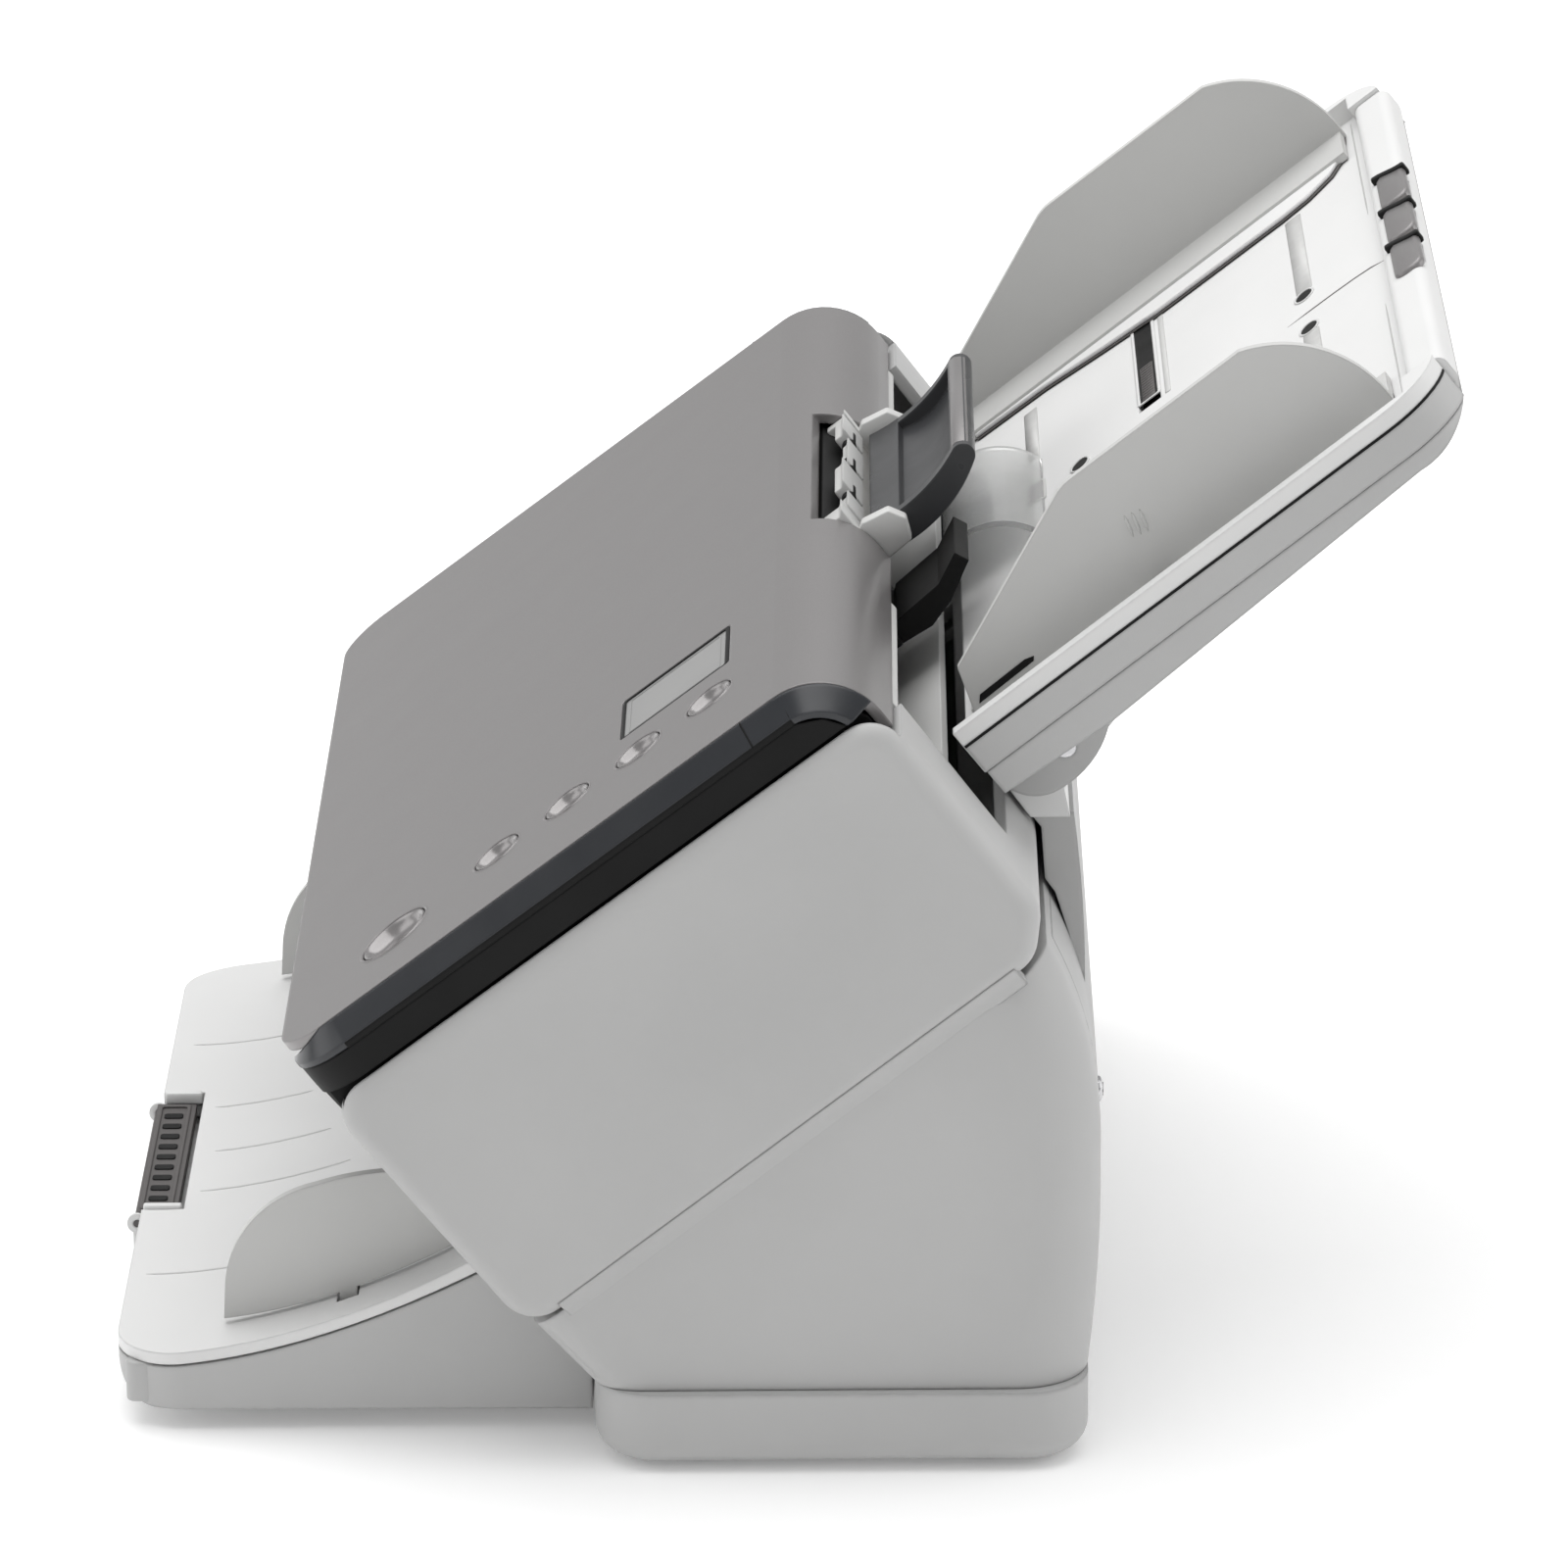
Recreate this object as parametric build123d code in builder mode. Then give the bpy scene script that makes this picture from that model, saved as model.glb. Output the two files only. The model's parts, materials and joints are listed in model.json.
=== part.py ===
from build123d import *
import os
from math import atan2, cos, degrees, pi, radians, sin, sqrt, tan

# Sheet fed document scanner, millimetres.
# X runs across the paper, +X to the user's right. -Y is the front, +Z is up.
# The origin is the bottom centre of the whole machine with its trays open.
os.makedirs("parts", exist_ok=True)

# ---- driving dimensions -------------------------------------------------------------
body_half_width = 152.0        # outer side faces of the plinth and the upper casing
lower_half_width = 149.5       # the lower casing is set in below the step
cover_half_width = 144.0       # painted skin of the front cover
bezel_half_width = 149.5       # dark frame round the skin
frame_half_width = 144.0       # inner box of the front unit
tray_half_width = 126.0        # input tray
output_half_width = 125.0      # output tray
guide_offset = 109.5           # inner spread of the paper guides, letter width plus play
wall = 2.5

face_angle = 37.0              # slope of the front cover
face_y, face_z = -98.0, 105.94  # lower end of the cover plane
cover_low, cover_high = -12.5, 142.8
cover_bend = 17.0
rim_depth = -14.0              # top rim of the upper casing, below the cover plane
casing_depth = -84.5           # bottom of the upper casing, below the cover plane
casing_end = 144.0
upper_path, lower_path = -38.2, -41.0   # the two faces of the paper path

tray_angle = 38.0              # slope of the input tray
tray_y, tray_z = 45.0, 162.7   # lower end of its floor
tray_length = 134.0
tray_rim = 4.9
tray_parting = -6.4
tray_hinge_t, tray_hinge_m = 14.0, -18.0

plinth_front, plinth_back, plinth_top = -39.4, 71.7, 19.4
foot_height = 1.2

shaft_radius = 3.0
stub_radius = 2.0              # fixed stub of the idler gear
motor_shaft_radius = 1.6
running_fit = 0.05
tyre_radius = 10.0
pinch_radius = 6.0
pinch_gap = 0.4
drive_u, feed_u, exit_u = 88.0, 119.0, 18.0
plate_inner, plate_outer = 138.0, 139.5   # steel side plates of the chassis
gear_module = 1.0
pressure_angle = 20.0


# ---- places -------------------------------------------------------------------------
def face_side(x):
    """Side plane of the sloping body: first axis up the cover, second out of it."""
    a = radians(face_angle)
    return Plane(origin=(x, face_y, face_z), x_dir=(0, cos(a), sin(a)), z_dir=(1, 0, 0))


def face_plane(n):
    """Plane parallel to the cover at height n: first axis X, second up the cover."""
    a = radians(face_angle)
    origin = (0, face_y - n * sin(a), face_z + n * cos(a))
    return Plane(origin=origin, x_dir=(1, 0, 0), z_dir=(0, -sin(a), cos(a)))


def tray_side(x):
    """Side plane of the input tray: first axis up the floor, second out of it."""
    a = radians(tray_angle)
    return Plane(origin=(x, tray_y, tray_z), x_dir=(0, cos(a), sin(a)), z_dir=(1, 0, 0))


def tray_plane(m):
    """Plane parallel to the input tray's floor at height m."""
    a = radians(tray_angle)
    origin = (0, tray_y - m * sin(a), tray_z + m * cos(a))
    return Plane(origin=origin, x_dir=(1, 0, 0), z_dir=(0, -sin(a), cos(a)))


def save(piece, name):
    piece.part.label = name
    export_step(piece.part, f"parts/{name}.step")


def span(low, high):
    """Half length and middle of a stretch along X."""
    return (high - low) / 2, (low + high) / 2


# ---- gears --------------------------------------------------------------------------
def gear_outline(teeth, phase, slack=0.86):
    """Points of an involute gear with one tooth centred at phase degrees."""
    pitch = gear_module * teeth / 2
    base = pitch * cos(radians(pressure_angle))
    tip, root = pitch + 0.9 * gear_module, pitch - 1.2 * gear_module
    half = pi / (2 * teeth) * slack
    involute = lambda r: sqrt(max((r / base) ** 2 - 1, 0)) - atan2(sqrt(max(r * r - base * base, 0)), base)
    radii = [max(root, base) + (tip - max(root, base)) * i / 3 for i in range(4)]
    points = []
    for tooth in range(teeth):
        middle = radians(phase) + 2 * pi * tooth / teeth
        rise = [(r, half + involute(pitch) - involute(r)) for r in radii]
        flank = [(root, rise[0][1])] + rise if root < base - 0.01 else rise
        points += [(r * cos(middle - a), r * sin(middle - a)) for r, a in flank]
        points += [(r * cos(middle + a), r * sin(middle + a)) for r, a in reversed(flank)]
    return points


def meshing_phase(phase, teeth, direction, other_teeth):
    """Phase of a gear that meshes with one at phase, seen in the given direction."""
    return direction + 180 - (phase - direction) * teeth / other_teeth + 180 / other_teeth


def spur_gear(name, u, n, rings, bore):
    """A gear on the chassis side; each ring has its teeth, phase and two X values."""
    with BuildPart() as wheel:
        for teeth, phase, low, high in rings:
            with BuildSketch(face_side(low)):
                with Locations((u, n)):
                    Polygon(*gear_outline(teeth, phase), align=None)
                    Circle(bore, mode=Mode.SUBTRACT)
            extrude(amount=high - low)
    save(wheel, name)


# ---- plinth and feet ----------------------------------------------------------------
plinth_depth = plinth_back - plinth_front
plinth_middle = (plinth_back + plinth_front) / 2
screw_spots = [(x, plinth_middle + y) for x in (-141.0, 141.0) for y in (-32.0, 32.0)]
screw_radius, screw_head, screw_sink = 1.5, 3.2, 1.6
with BuildPart() as base_plate:
    with BuildSketch(Plane.XY.offset(foot_height)):
        with Locations((0, plinth_middle)):
            RectangleRounded(2 * body_half_width, plinth_depth, 14)
    extrude(amount=plinth_top - foot_height)
    fillet(base_plate.faces().sort_by(Axis.Z)[0].edges(), 7)
    with BuildSketch(Plane.XY.offset(foot_height + wall)):
        with Locations((0, plinth_middle)):
            RectangleRounded(2 * (body_half_width - 5), plinth_depth - 10, 9)
    extrude(amount=plinth_top, mode=Mode.SUBTRACT)
    with BuildSketch(Plane.XY.offset(foot_height)):
        with Locations(*screw_spots):
            Circle(screw_head + 0.2)
    extrude(amount=screw_sink, mode=Mode.SUBTRACT)
    with BuildSketch(Plane.XY.offset(foot_height)):
        with Locations(*screw_spots):
            Circle(screw_radius + 0.2)
    extrude(amount=wall, mode=Mode.SUBTRACT)
save(base_plate, "base_plate")

with BuildPart() as rubber_feet:
    with BuildSketch():
        with Locations((0, plinth_middle)):
            with GridLocations(2 * 128, 72, 2, 2):
                Circle(8)
    extrude(amount=foot_height)
    chamfer(rubber_feet.faces().filter_by(Plane.XY).group_by(Axis.Z)[0].edges(), 0.4)
save(rubber_feet, "rubber_feet")

# ---- lower casing and rear cover ----------------------------------------------------
lower_top = casing_depth - 0.2


def lower_outline(inset=0.0):
    """Side sketch of the lower body: sloping front, step under the pod, bowed back."""
    a = radians(face_angle)
    front = (face_y - 7 * cos(a) - lower_top * sin(a), face_z - 7 * sin(a) + lower_top * cos(a))
    back = (face_y + 137 * cos(a) - lower_top * sin(a), face_z + 137 * sin(a) + lower_top * cos(a))
    foot = plinth_top + 0.2
    with BuildSketch(Plane.YZ) as side:
        with BuildLine():
            Polyline((plinth_back, foot), (plinth_front, foot), front, back)
            ThreePointArc(back, (71.4, 98.5), (74.6, 70))
            ThreePointArc((74.6, 70), (74.0, 44), (plinth_back, foot))
        make_face()
        if inset:
            offset(amount=-inset)
    return side.sketch


rear_window = (24.0, 118.0)     # lowest and highest z of the opening at the back
window_half_width = 124.0
back_corner, front_corner = 16.0, 8.0


def lower_body(inset, half_width):
    """Solid lower body with rounded upright corners, the whole set in by inset."""
    with BuildPart() as body:
        extrude(lower_outline(inset), amount=half_width, both=True)
        rims = body.edges().filter_by(lambda e: abs(abs(e.center().X) - half_width) < 0.1)
        fillet(rims.filter_by(lambda e: e.center().Y > 64), back_corner - inset)
        low = rims.filter_by(lambda e: e.center().Y < -42 and e.center().Z < 36)
        if not inset:
            fillet(low, front_corner)
    return body.part


with BuildPart() as lower_casing:
    add(lower_body(0, lower_half_width))
    add(lower_body(wall, lower_half_width - wall), mode=Mode.SUBTRACT)
    with BuildSketch(Plane.XY.offset(plinth_top - 1)):
        with Locations((0, plinth_middle)):
            RectangleRounded(2 * (lower_half_width - wall), plinth_depth - 10, 8)
    extrude(amount=4, mode=Mode.SUBTRACT)
    with BuildSketch(face_plane(lower_top - 4)):
        with Locations((0, 66)):
            Rectangle(252, 104)
    extrude(amount=6, mode=Mode.SUBTRACT)
    with BuildSketch(Plane.XZ.offset(-55)):
        with Locations((0, sum(rear_window) / 2)):
            Rectangle(2 * window_half_width, rear_window[1] - rear_window[0])
    extrude(amount=-30, mode=Mode.SUBTRACT)
    with BuildSketch(Plane.XY.offset(foot_height + wall + 0.2)):
        for x, y in screw_spots:
            with Locations((x, y)):
                Circle(4.5)
    extrude(amount=30)
    with BuildSketch(Plane.XY.offset(plinth_top + 0.2)):
        for x, y in screw_spots:
            side = 1 if x > 0 else -1
            with Locations((x + side * 3.4, y)):
                Rectangle(6.4, 4)
    extrude(amount=14)
    with BuildSketch(Plane.XY.offset(foot_height + wall)):
        with Locations(*screw_spots):
            Circle(screw_radius)
    extrude(amount=12, mode=Mode.SUBTRACT)
save(lower_casing, "lower_casing")

socket_spots = [(62.0, 40.0, 13.0, 12.0), (88.0, 40.0, 14.0, 12.0)]   # x, z, width, height
bulge_half_width = 96.0
with BuildPart() as rear_cover:
    extrude(lower_outline(), amount=window_half_width - 0.3, both=True)
    with BuildSketch(Plane.XZ.offset(-55)):
        with Locations((0, sum(rear_window) / 2)):
            Rectangle(2 * window_half_width - 0.6, rear_window[1] - rear_window[0] - 0.6)
    extrude(amount=-30, mode=Mode.INTERSECT)
    extrude(lower_outline(wall), amount=lower_half_width, both=True, mode=Mode.SUBTRACT)
    with BuildSketch(Plane.YZ):
        with BuildLine():
            ThreePointArc((71.9, 94), (71.3, 118), (69.4, 137.4))
            Polyline((69.4, 137.4), (59.4, 137.4), (62.1, 133.9), (62.9, 121.6), (65.2, 118.3))
            Polyline((65.2, 118.3), (70.6, 101), (70.9, 94), (71.9, 94))
        make_face()
    extrude(amount=bulge_half_width, both=True)
    with BuildSketch(Plane.YZ):
        Polygon((69.4, 112), (67.2, 135.2), (62.8, 135.2), (64.4, 133.6), (65.2, 122.6), align=None)
    extrude(amount=bulge_half_width - wall, both=True, mode=Mode.SUBTRACT)
    for x, z, width, height in socket_spots:
        with BuildSketch(Plane.XZ.offset(-55)):
            with Locations((x, z)):
                Rectangle(width, height)
        extrude(amount=-30, mode=Mode.SUBTRACT)
    with BuildSketch(Plane.XZ.offset(-55)):
        with Locations((-62, 44)):
            with GridLocations(8, 0, 9, 1):
                SlotOverall(22, 2.4, rotation=90)
    extrude(amount=-30, mode=Mode.SUBTRACT)
save(rear_cover, "rear_cover")

with BuildPart() as power_socket:
    x, z, width, height = socket_spots[0]
    with BuildSketch(Plane.XZ.offset(-73.6)):
        with Locations((x, z)):
            RectangleRounded(width - 0.4, height - 0.4, 1.5)
    extrude(amount=13)
    with BuildSketch(Plane.XZ.offset(-73.6)):
        with Locations((x, z)):
            Circle(4.2)
            Circle(1.0, mode=Mode.SUBTRACT)
    extrude(amount=9, mode=Mode.SUBTRACT)
save(power_socket, "power_socket")

with BuildPart() as usb_socket:
    x, z, width, height = socket_spots[1]
    with BuildSketch(Plane.XZ.offset(-73.6)):
        with Locations((x, z)):
            Rectangle(width - 0.4, height - 0.4)
            Rectangle(8.6, 8.0, mode=Mode.SUBTRACT)
            Rectangle(5.6, 3.2)
    extrude(amount=9)
    with BuildSketch(Plane.XZ.offset(-64.8)):
        with Locations((x, z)):
            Rectangle(width - 0.4, height - 0.4)
    extrude(amount=5)
save(usb_socket, "usb_socket")

# ---- upper casing -------------------------------------------------------------------
casing_outline = [(-10.5, rim_depth), (-8.0, casing_depth), (135.5, casing_depth + 2.0),
                  (casing_end, casing_depth + 11.0), (casing_end, rim_depth)]
with BuildPart() as upper_casing:
    with BuildSketch(face_side(0)) as outer_side:
        Polygon(*casing_outline, align=None)
        fillet(outer_side.vertices().filter_by(lambda v: v.Y < 30 and v.Z < 60), 9)
        fillet(outer_side.vertices().filter_by(lambda v: v.Y > 50 and v.Z < 150), 5)
    extrude(amount=body_half_width, both=True)
    rim = upper_casing.edges().filter_by(lambda e: abs(abs(e.center().X) - body_half_width) < 0.01)
    top_normal = face_plane(rim_depth)
    rounded = rim.filter_by(lambda e: abs(top_normal.to_local_coords(e.center()).Z) > 0.5)
    fillet(rounded, 5)
    with BuildSketch(face_side(0)) as inner_side:
        Polygon(*casing_outline, align=None)
        offset(amount=-3)
        with Locations((67, rim_depth)):
            Rectangle(148, 12)
    extrude(amount=body_half_width - 3, both=True, mode=Mode.SUBTRACT)
    with BuildSketch(face_side(0)):
        with Locations((-6, (rim_depth - 45) / 2 + 4)):
            Rectangle(12, 45 + rim_depth + 8)
    extrude(amount=frame_half_width + 1, both=True, mode=Mode.SUBTRACT)
    with BuildSketch(face_side(0)):
        with Locations((casing_end, -36)):
            Rectangle(12, 50)
    extrude(amount=tray_half_width + 2, both=True, mode=Mode.SUBTRACT)
    with BuildSketch(face_side(0)):
        with Locations((casing_end, -18)):
            Rectangle(12, 9)
    extrude(amount=body_half_width - 3, both=True, mode=Mode.SUBTRACT)
    with BuildSketch(face_plane(casing_depth - 1)):
        with Locations((0, 66)):
            Rectangle(252, 104)
    extrude(amount=7, mode=Mode.SUBTRACT)
save(upper_casing, "upper_casing")

# ---- hump that carries the input tray -----------------------------------------------
hump_half_width = 100.0
with BuildPart() as hinge_housing:
    with BuildSketch(tray_side(0)) as lobe:
        with BuildLine():
            Polyline((-3.6, -21), (2, -21), (6.5, -16.2), (24, -16.8))
            ThreePointArc((24, -16.8), (26.6, -19.4), (25.6, -22.0))
            Polyline((25.6, -22.0), (12, -25.6), (6.2, -28.0), (3.1, -34.2), (-3.9, -28.7), (-3.6, -21))
        make_face()
    extrude(amount=hump_half_width, both=True)
    with BuildSketch(tray_side(0)):
        with Locations((tray_hinge_t, tray_hinge_m)):
            Circle(2.5)
    extrude(amount=hump_half_width, both=True, mode=Mode.SUBTRACT)
    with BuildSketch(tray_side(0)):
        with Locations((4.5, -24)):
            Rectangle(6, 4)
    extrude(amount=hump_half_width - 5, both=True, mode=Mode.SUBTRACT)
save(hinge_housing, "hinge_housing")

# ---- chassis, rear half of the paper path -------------------------------------------
drive_n = lower_path + 1.2 - tyre_radius
exit_n = drive_n
pinion_teeth, wheel_teeth = 12, 24
motor_reach = gear_module * (pinion_teeth + wheel_teeth) / 2
motor_direction = -110.0       # direction from the drive shaft to the motor, degrees
motor_u = drive_u + motor_reach * cos(radians(motor_direction))
motor_n = drive_n + motor_reach * sin(radians(motor_direction))
shaft_spots = [(drive_u, drive_n), (feed_u, drive_n), (exit_u, exit_n)]
idler_u = (drive_u + feed_u) / 2
with BuildPart() as main_frame:
    for side in (-1, 1):
        with BuildSketch(face_side(side * plate_inner)) as plate:
            with BuildLine():
                Polyline((6, -43.5), (130, -43.5), (130, -66), (112, -78), (20, -78), (6, -66), (6, -43.5))
            make_face()
            with Locations(*shaft_spots):
                Circle(shaft_radius + running_fit, mode=Mode.SUBTRACT)
            with Locations((motor_u, motor_n)):
                if side < 0:
                    Circle(2 * motor_shaft_radius, mode=Mode.SUBTRACT)
        extrude(amount=side * (plate_outer - plate_inner))
    for u in (40.0, 108.0):
        with BuildSketch(face_side(0)):
            with Locations((u, -71)):
                Rectangle(16 if u > 100 else 20, 1.5)
        extrude(amount=plate_inner, both=True)
    with BuildSketch(face_side(-plate_outer)):
        with Locations((idler_u, drive_n)):
            Circle(stub_radius)
    extrude(amount=-8.2)
save(main_frame, "main_frame")

tyre_rows = {"drive": (-85.0, -35.0, 35.0, 85.0), "feed": (-14.0, 14.0), "exit": (-85.0, -35.0, 35.0, 85.0)}
tyre_width = 20.0
path_half_width = 131.0
throat_half_width = 121.5
rear_glass = (46.0, 68.0)
front_glass = (50.0, 72.0)
with BuildPart() as rear_paper_guide:
    with BuildSketch(face_side(0)):
        Polygon((-7, lower_path - 0.8), (-4, lower_path), (130, lower_path), (130, -43.2), (-7, -43.2),
                align=None)
    extrude(amount=path_half_width, both=True)
    with BuildSketch(face_side(0)):
        Polygon((129, lower_path), (141.5, lower_path), (141.5, -43.2), (129, -43.2), align=None)
    extrude(amount=throat_half_width, both=True)
    for name, u in (("drive", drive_u), ("feed", feed_u), ("exit", exit_u)):
        with BuildSketch(face_plane(-44)):
            with Locations(*[(x, u) for x in tyre_rows[name]]):
                Rectangle(tyre_width + 3, 2 * tyre_radius)
        extrude(amount=5, mode=Mode.SUBTRACT)
    with BuildSketch(face_plane(-44)):
        with Locations((0, sum(rear_glass) / 2)):
            Rectangle(2 * 112 + 0.4, rear_glass[1] - rear_glass[0] + 0.4)
    extrude(amount=5, mode=Mode.SUBTRACT)
save(rear_paper_guide, "rear_paper_guide")

with BuildPart() as rear_scan_glass:
    with BuildSketch(face_plane(-43.2)):
        with Locations((0, sum(rear_glass) / 2)):
            Rectangle(2 * 112, rear_glass[1] - rear_glass[0])
    extrude(amount=1.9)
save(rear_scan_glass, "rear_scan_glass")

with BuildPart() as rear_scan_bar:
    with BuildSketch(face_plane(-58)):
        with Locations((0, sum(rear_glass) / 2)):
            Rectangle(2 * 114, 18)
    extrude(amount=14.6)
    with BuildSketch(face_plane(-43.4)):
        with Locations((0, sum(rear_glass) / 2)):
            Rectangle(2 * 108, 8)
    extrude(amount=-9, mode=Mode.SUBTRACT)
save(rear_scan_bar, "rear_scan_bar")


pulley_radius, belt_gap, belt_thickness = 8.0, 0.15, 1.0
pulley_start, pulley_width, flange = 140.2, 5.0, 0.8


def roller(shaft_name, tyre_name, u, n, rows, x_low, x_high):
    """A shaft with the rubber tyres pressed on it, and a belt pulley if it reaches one."""
    with BuildPart() as shaft:
        with BuildSketch(face_side(x_low)):
            with Locations((u, n)):
                Circle(shaft_radius)
        extrude(amount=x_high - x_low)
        if x_high > pulley_start + pulley_width:
            with BuildSketch(face_side(pulley_start)):
                with Locations((u, n)):
                    Circle(pulley_radius)
            extrude(amount=pulley_width)
            with BuildSketch(face_side(pulley_start + pulley_width)):
                with Locations((u, n)):
                    Circle(pulley_radius + 1.8)
            extrude(amount=flange)
    save(shaft, shaft_name)
    with BuildPart() as tyres:
        for x in rows:
            with BuildSketch(face_side(x - tyre_width / 2)):
                with Locations((u, n)):
                    Circle(tyre_radius)
                    Circle(shaft_radius, mode=Mode.SUBTRACT)
            extrude(amount=tyre_width)
        rims = tyres.edges().filter_by(GeomType.CIRCLE).filter_by(lambda e: e.radius > tyre_radius - 0.1)
        chamfer(rims, 0.8)
    save(tyres, tyre_name)


roller("drive_shaft", "drive_roller_tyres", drive_u, drive_n, tyre_rows["drive"], -147.6, 146.5)
roller("feed_shaft", "feed_roller_tyres", feed_u, drive_n, tyre_rows["feed"], -147.6, 141.0)
roller("exit_shaft", "exit_roller_tyres", exit_u, exit_n, tyre_rows["exit"], -141.0, 146.5)

# ---- gear train on the left chassis plate -------------------------------------------
small_teeth, feed_teeth = 16, 16
idler_teeth = int((feed_u - drive_u - gear_module * (small_teeth + feed_teeth) / 2) / gear_module)
layer_low = (-143.6, -140.2)
layer_high = (-147.4, -144.0)
small_phase = 0.0
idler_phase = meshing_phase(small_phase, small_teeth, 0.0, idler_teeth)
feed_phase = meshing_phase(idler_phase, idler_teeth, 0.0, feed_teeth)
pinion_phase = meshing_phase(0.0, wheel_teeth, motor_direction, pinion_teeth)
small_ring = (small_teeth, small_phase, layer_high[0], layer_low[0])
spur_gear("drive_gear", drive_u, drive_n, [(wheel_teeth, 0.0, *layer_low), small_ring], shaft_radius)
idler_ring = (idler_teeth, idler_phase, *layer_high)
spur_gear("idler_gear", idler_u, drive_n, [idler_ring], stub_radius + running_fit)
spur_gear("feed_gear", feed_u, drive_n, [(feed_teeth, feed_phase, *layer_high)], shaft_radius)

with BuildPart() as motor_pinion:
    with BuildSketch(face_side(layer_low[0])):
        with Locations((motor_u, motor_n)):
            Polygon(*gear_outline(pinion_teeth, pinion_phase), align=None)
    extrude(amount=layer_low[1] - layer_low[0])
    with BuildSketch(face_side(layer_low[1])):
        with Locations((motor_u, motor_n)):
            Circle(motor_shaft_radius)
    extrude(amount=-137.9 - layer_low[1])
save(motor_pinion, "motor_pinion")

with BuildPart() as drive_motor:
    with BuildSketch(face_side(-137.8)):
        with Locations((motor_u, motor_n)):
            Circle(13)
    extrude(amount=30)
    with BuildSketch(face_side(-107.8)):
        with Locations((motor_u, motor_n)):
            Circle(5)
    extrude(amount=2.5)
save(drive_motor, "drive_motor")

# ---- belt from the drive shaft to the exit shaft ------------------------------------
with BuildPart() as drive_belt:
    with BuildSketch(face_side(pulley_start + 0.3)):
        with Locations(((drive_u + exit_u) / 2, drive_n)):
            inner = pulley_radius + belt_gap
            SlotCenterToCenter(drive_u - exit_u, 2 * (inner + belt_thickness))
            SlotCenterToCenter(drive_u - exit_u, 2 * inner, mode=Mode.SUBTRACT)
    extrude(amount=4.2)
save(drive_belt, "drive_belt")

with BuildPart() as mainboard:
    with BuildSketch(Plane.XY.offset(14)):
        with Locations((10, plinth_middle)):
            Rectangle(190, 84)
    extrude(amount=1.6)
    with BuildSketch(Plane.XY.offset(15.6)):
        for x, y, width, depth in ((-40, 20, 24, 24), (20, 8, 16, 16), (62, 48, 12, 10), (-60, -6, 10, 30)):
            with Locations((x, y)):
                Rectangle(width, depth)
    extrude(amount=2.4)
    with BuildSketch(Plane.XY.offset(foot_height + wall)):
        with Locations((10, plinth_middle)):
            with GridLocations(170, 70, 2, 2):
                Circle(3)
    extrude(amount=14 - foot_height - wall)
save(mainboard, "mainboard")

# ---- front unit: skin, bezel, inner box ---------------------------------------------
notch = (-55.0, 27.0)          # gap in the skin for the release lever


def bent_outline(low, high, top, drop, bend):
    """Side sketch of a flat face that bends down at its upper end."""
    with BuildSketch(face_side(0)) as side:
        with BuildLine():
            Line((low, top), (high - bend, top))
            RadiusArc((high - bend, top), (high, top - bend), bend)
            Polyline((high, top - bend), (high, drop), (low, drop), (low, top))
        make_face()
    return side.sketch


button_column, power_x, power_u = 112.0, 117.0, 18.5
key_pitch, key_first = 20.0, 47.5
key_radius, power_radius = 5.9, 8.6
display = (83.3, 97.5, 26.5, 31.0)     # x, u, width, height
key_spots = [(button_column, key_first + key_pitch * i) for i in range(4)]
with BuildPart() as front_cover:
    extrude(bent_outline(cover_low, cover_high, 0, -21, cover_bend), amount=cover_half_width, both=True)
    with BuildSketch(face_plane(-30)) as plan:
        with Locations((0, (cover_low + cover_high) / 2)):
            Rectangle(2 * cover_half_width, cover_high - cover_low)
        fillet(plan.vertices().filter_by(lambda v: v.Y < 0), 12)
    extrude(amount=60, mode=Mode.INTERSECT)
    inside = bent_outline(cover_low - 5, cover_high - wall, -wall, -40, cover_bend - wall)
    extrude(inside, amount=cover_half_width + 5, both=True, mode=Mode.SUBTRACT)
    with BuildSketch(face_plane(-30)):
        with Locations((sum(notch) / 2, 141)):
            Rectangle(notch[1] - notch[0], 14)
        with Locations(*key_spots):
            Circle(key_radius + 0.35)
        with Locations((power_x, power_u)):
            Circle(power_radius + 0.35)
        with Locations((display[0], display[1])):
            RectangleRounded(display[2], display[3], 1)
    extrude(amount=60, mode=Mode.SUBTRACT)
save(front_cover, "front_cover")

bezel_drop = -6.2


def outer_rim(edge):
    """Top edges of the bezel's side strips, round the corners and over the bend."""
    middle = face_plane(0).to_local_coords(edge.center())
    upright = edge.geom_type == GeomType.LINE and abs(edge.tangent_at(0.5).dot(face_plane(0).z_dir)) > 0.99
    return abs(middle.X) > cover_half_width + 0.6 and middle.Z > -20 and (middle.Y > 140 or not upright)


with BuildPart() as cover_bezel:
    extrude(bent_outline(cover_low, cover_high, -0.2, -21, cover_bend), amount=bezel_half_width, both=True)
    with BuildSketch(face_plane(-30)) as plan:
        with Locations((0, (cover_low + cover_high) / 2)):
            Rectangle(2 * bezel_half_width, cover_high - cover_low)
        fillet(plan.vertices().filter_by(lambda v: v.Y < 0), 15)
    extrude(amount=60, mode=Mode.INTERSECT)
    chamfer(cover_bezel.edges().filter_by(outer_rim), 4.6)
    inner = bent_outline(cover_low - 5, cover_high - 6.2, bezel_drop, -40, cover_bend - 6)
    extrude(inner, amount=bezel_half_width + 5, both=True, mode=Mode.SUBTRACT)
    with BuildSketch(face_side(0)):
        with Locations((60, -30)):
            Rectangle(180, 32.8)
    extrude(amount=bezel_half_width + 5, both=True, mode=Mode.SUBTRACT)
    with BuildSketch(face_plane(-30)) as plan:
        with Locations((0, (cover_low + cover_high) / 2)):
            Rectangle(2 * cover_half_width + 0.4, cover_high - cover_low + 0.4)
        fillet(plan.vertices().filter_by(lambda v: v.Y < 0), 12.2)
    extrude(amount=60, mode=Mode.SUBTRACT)
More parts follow.
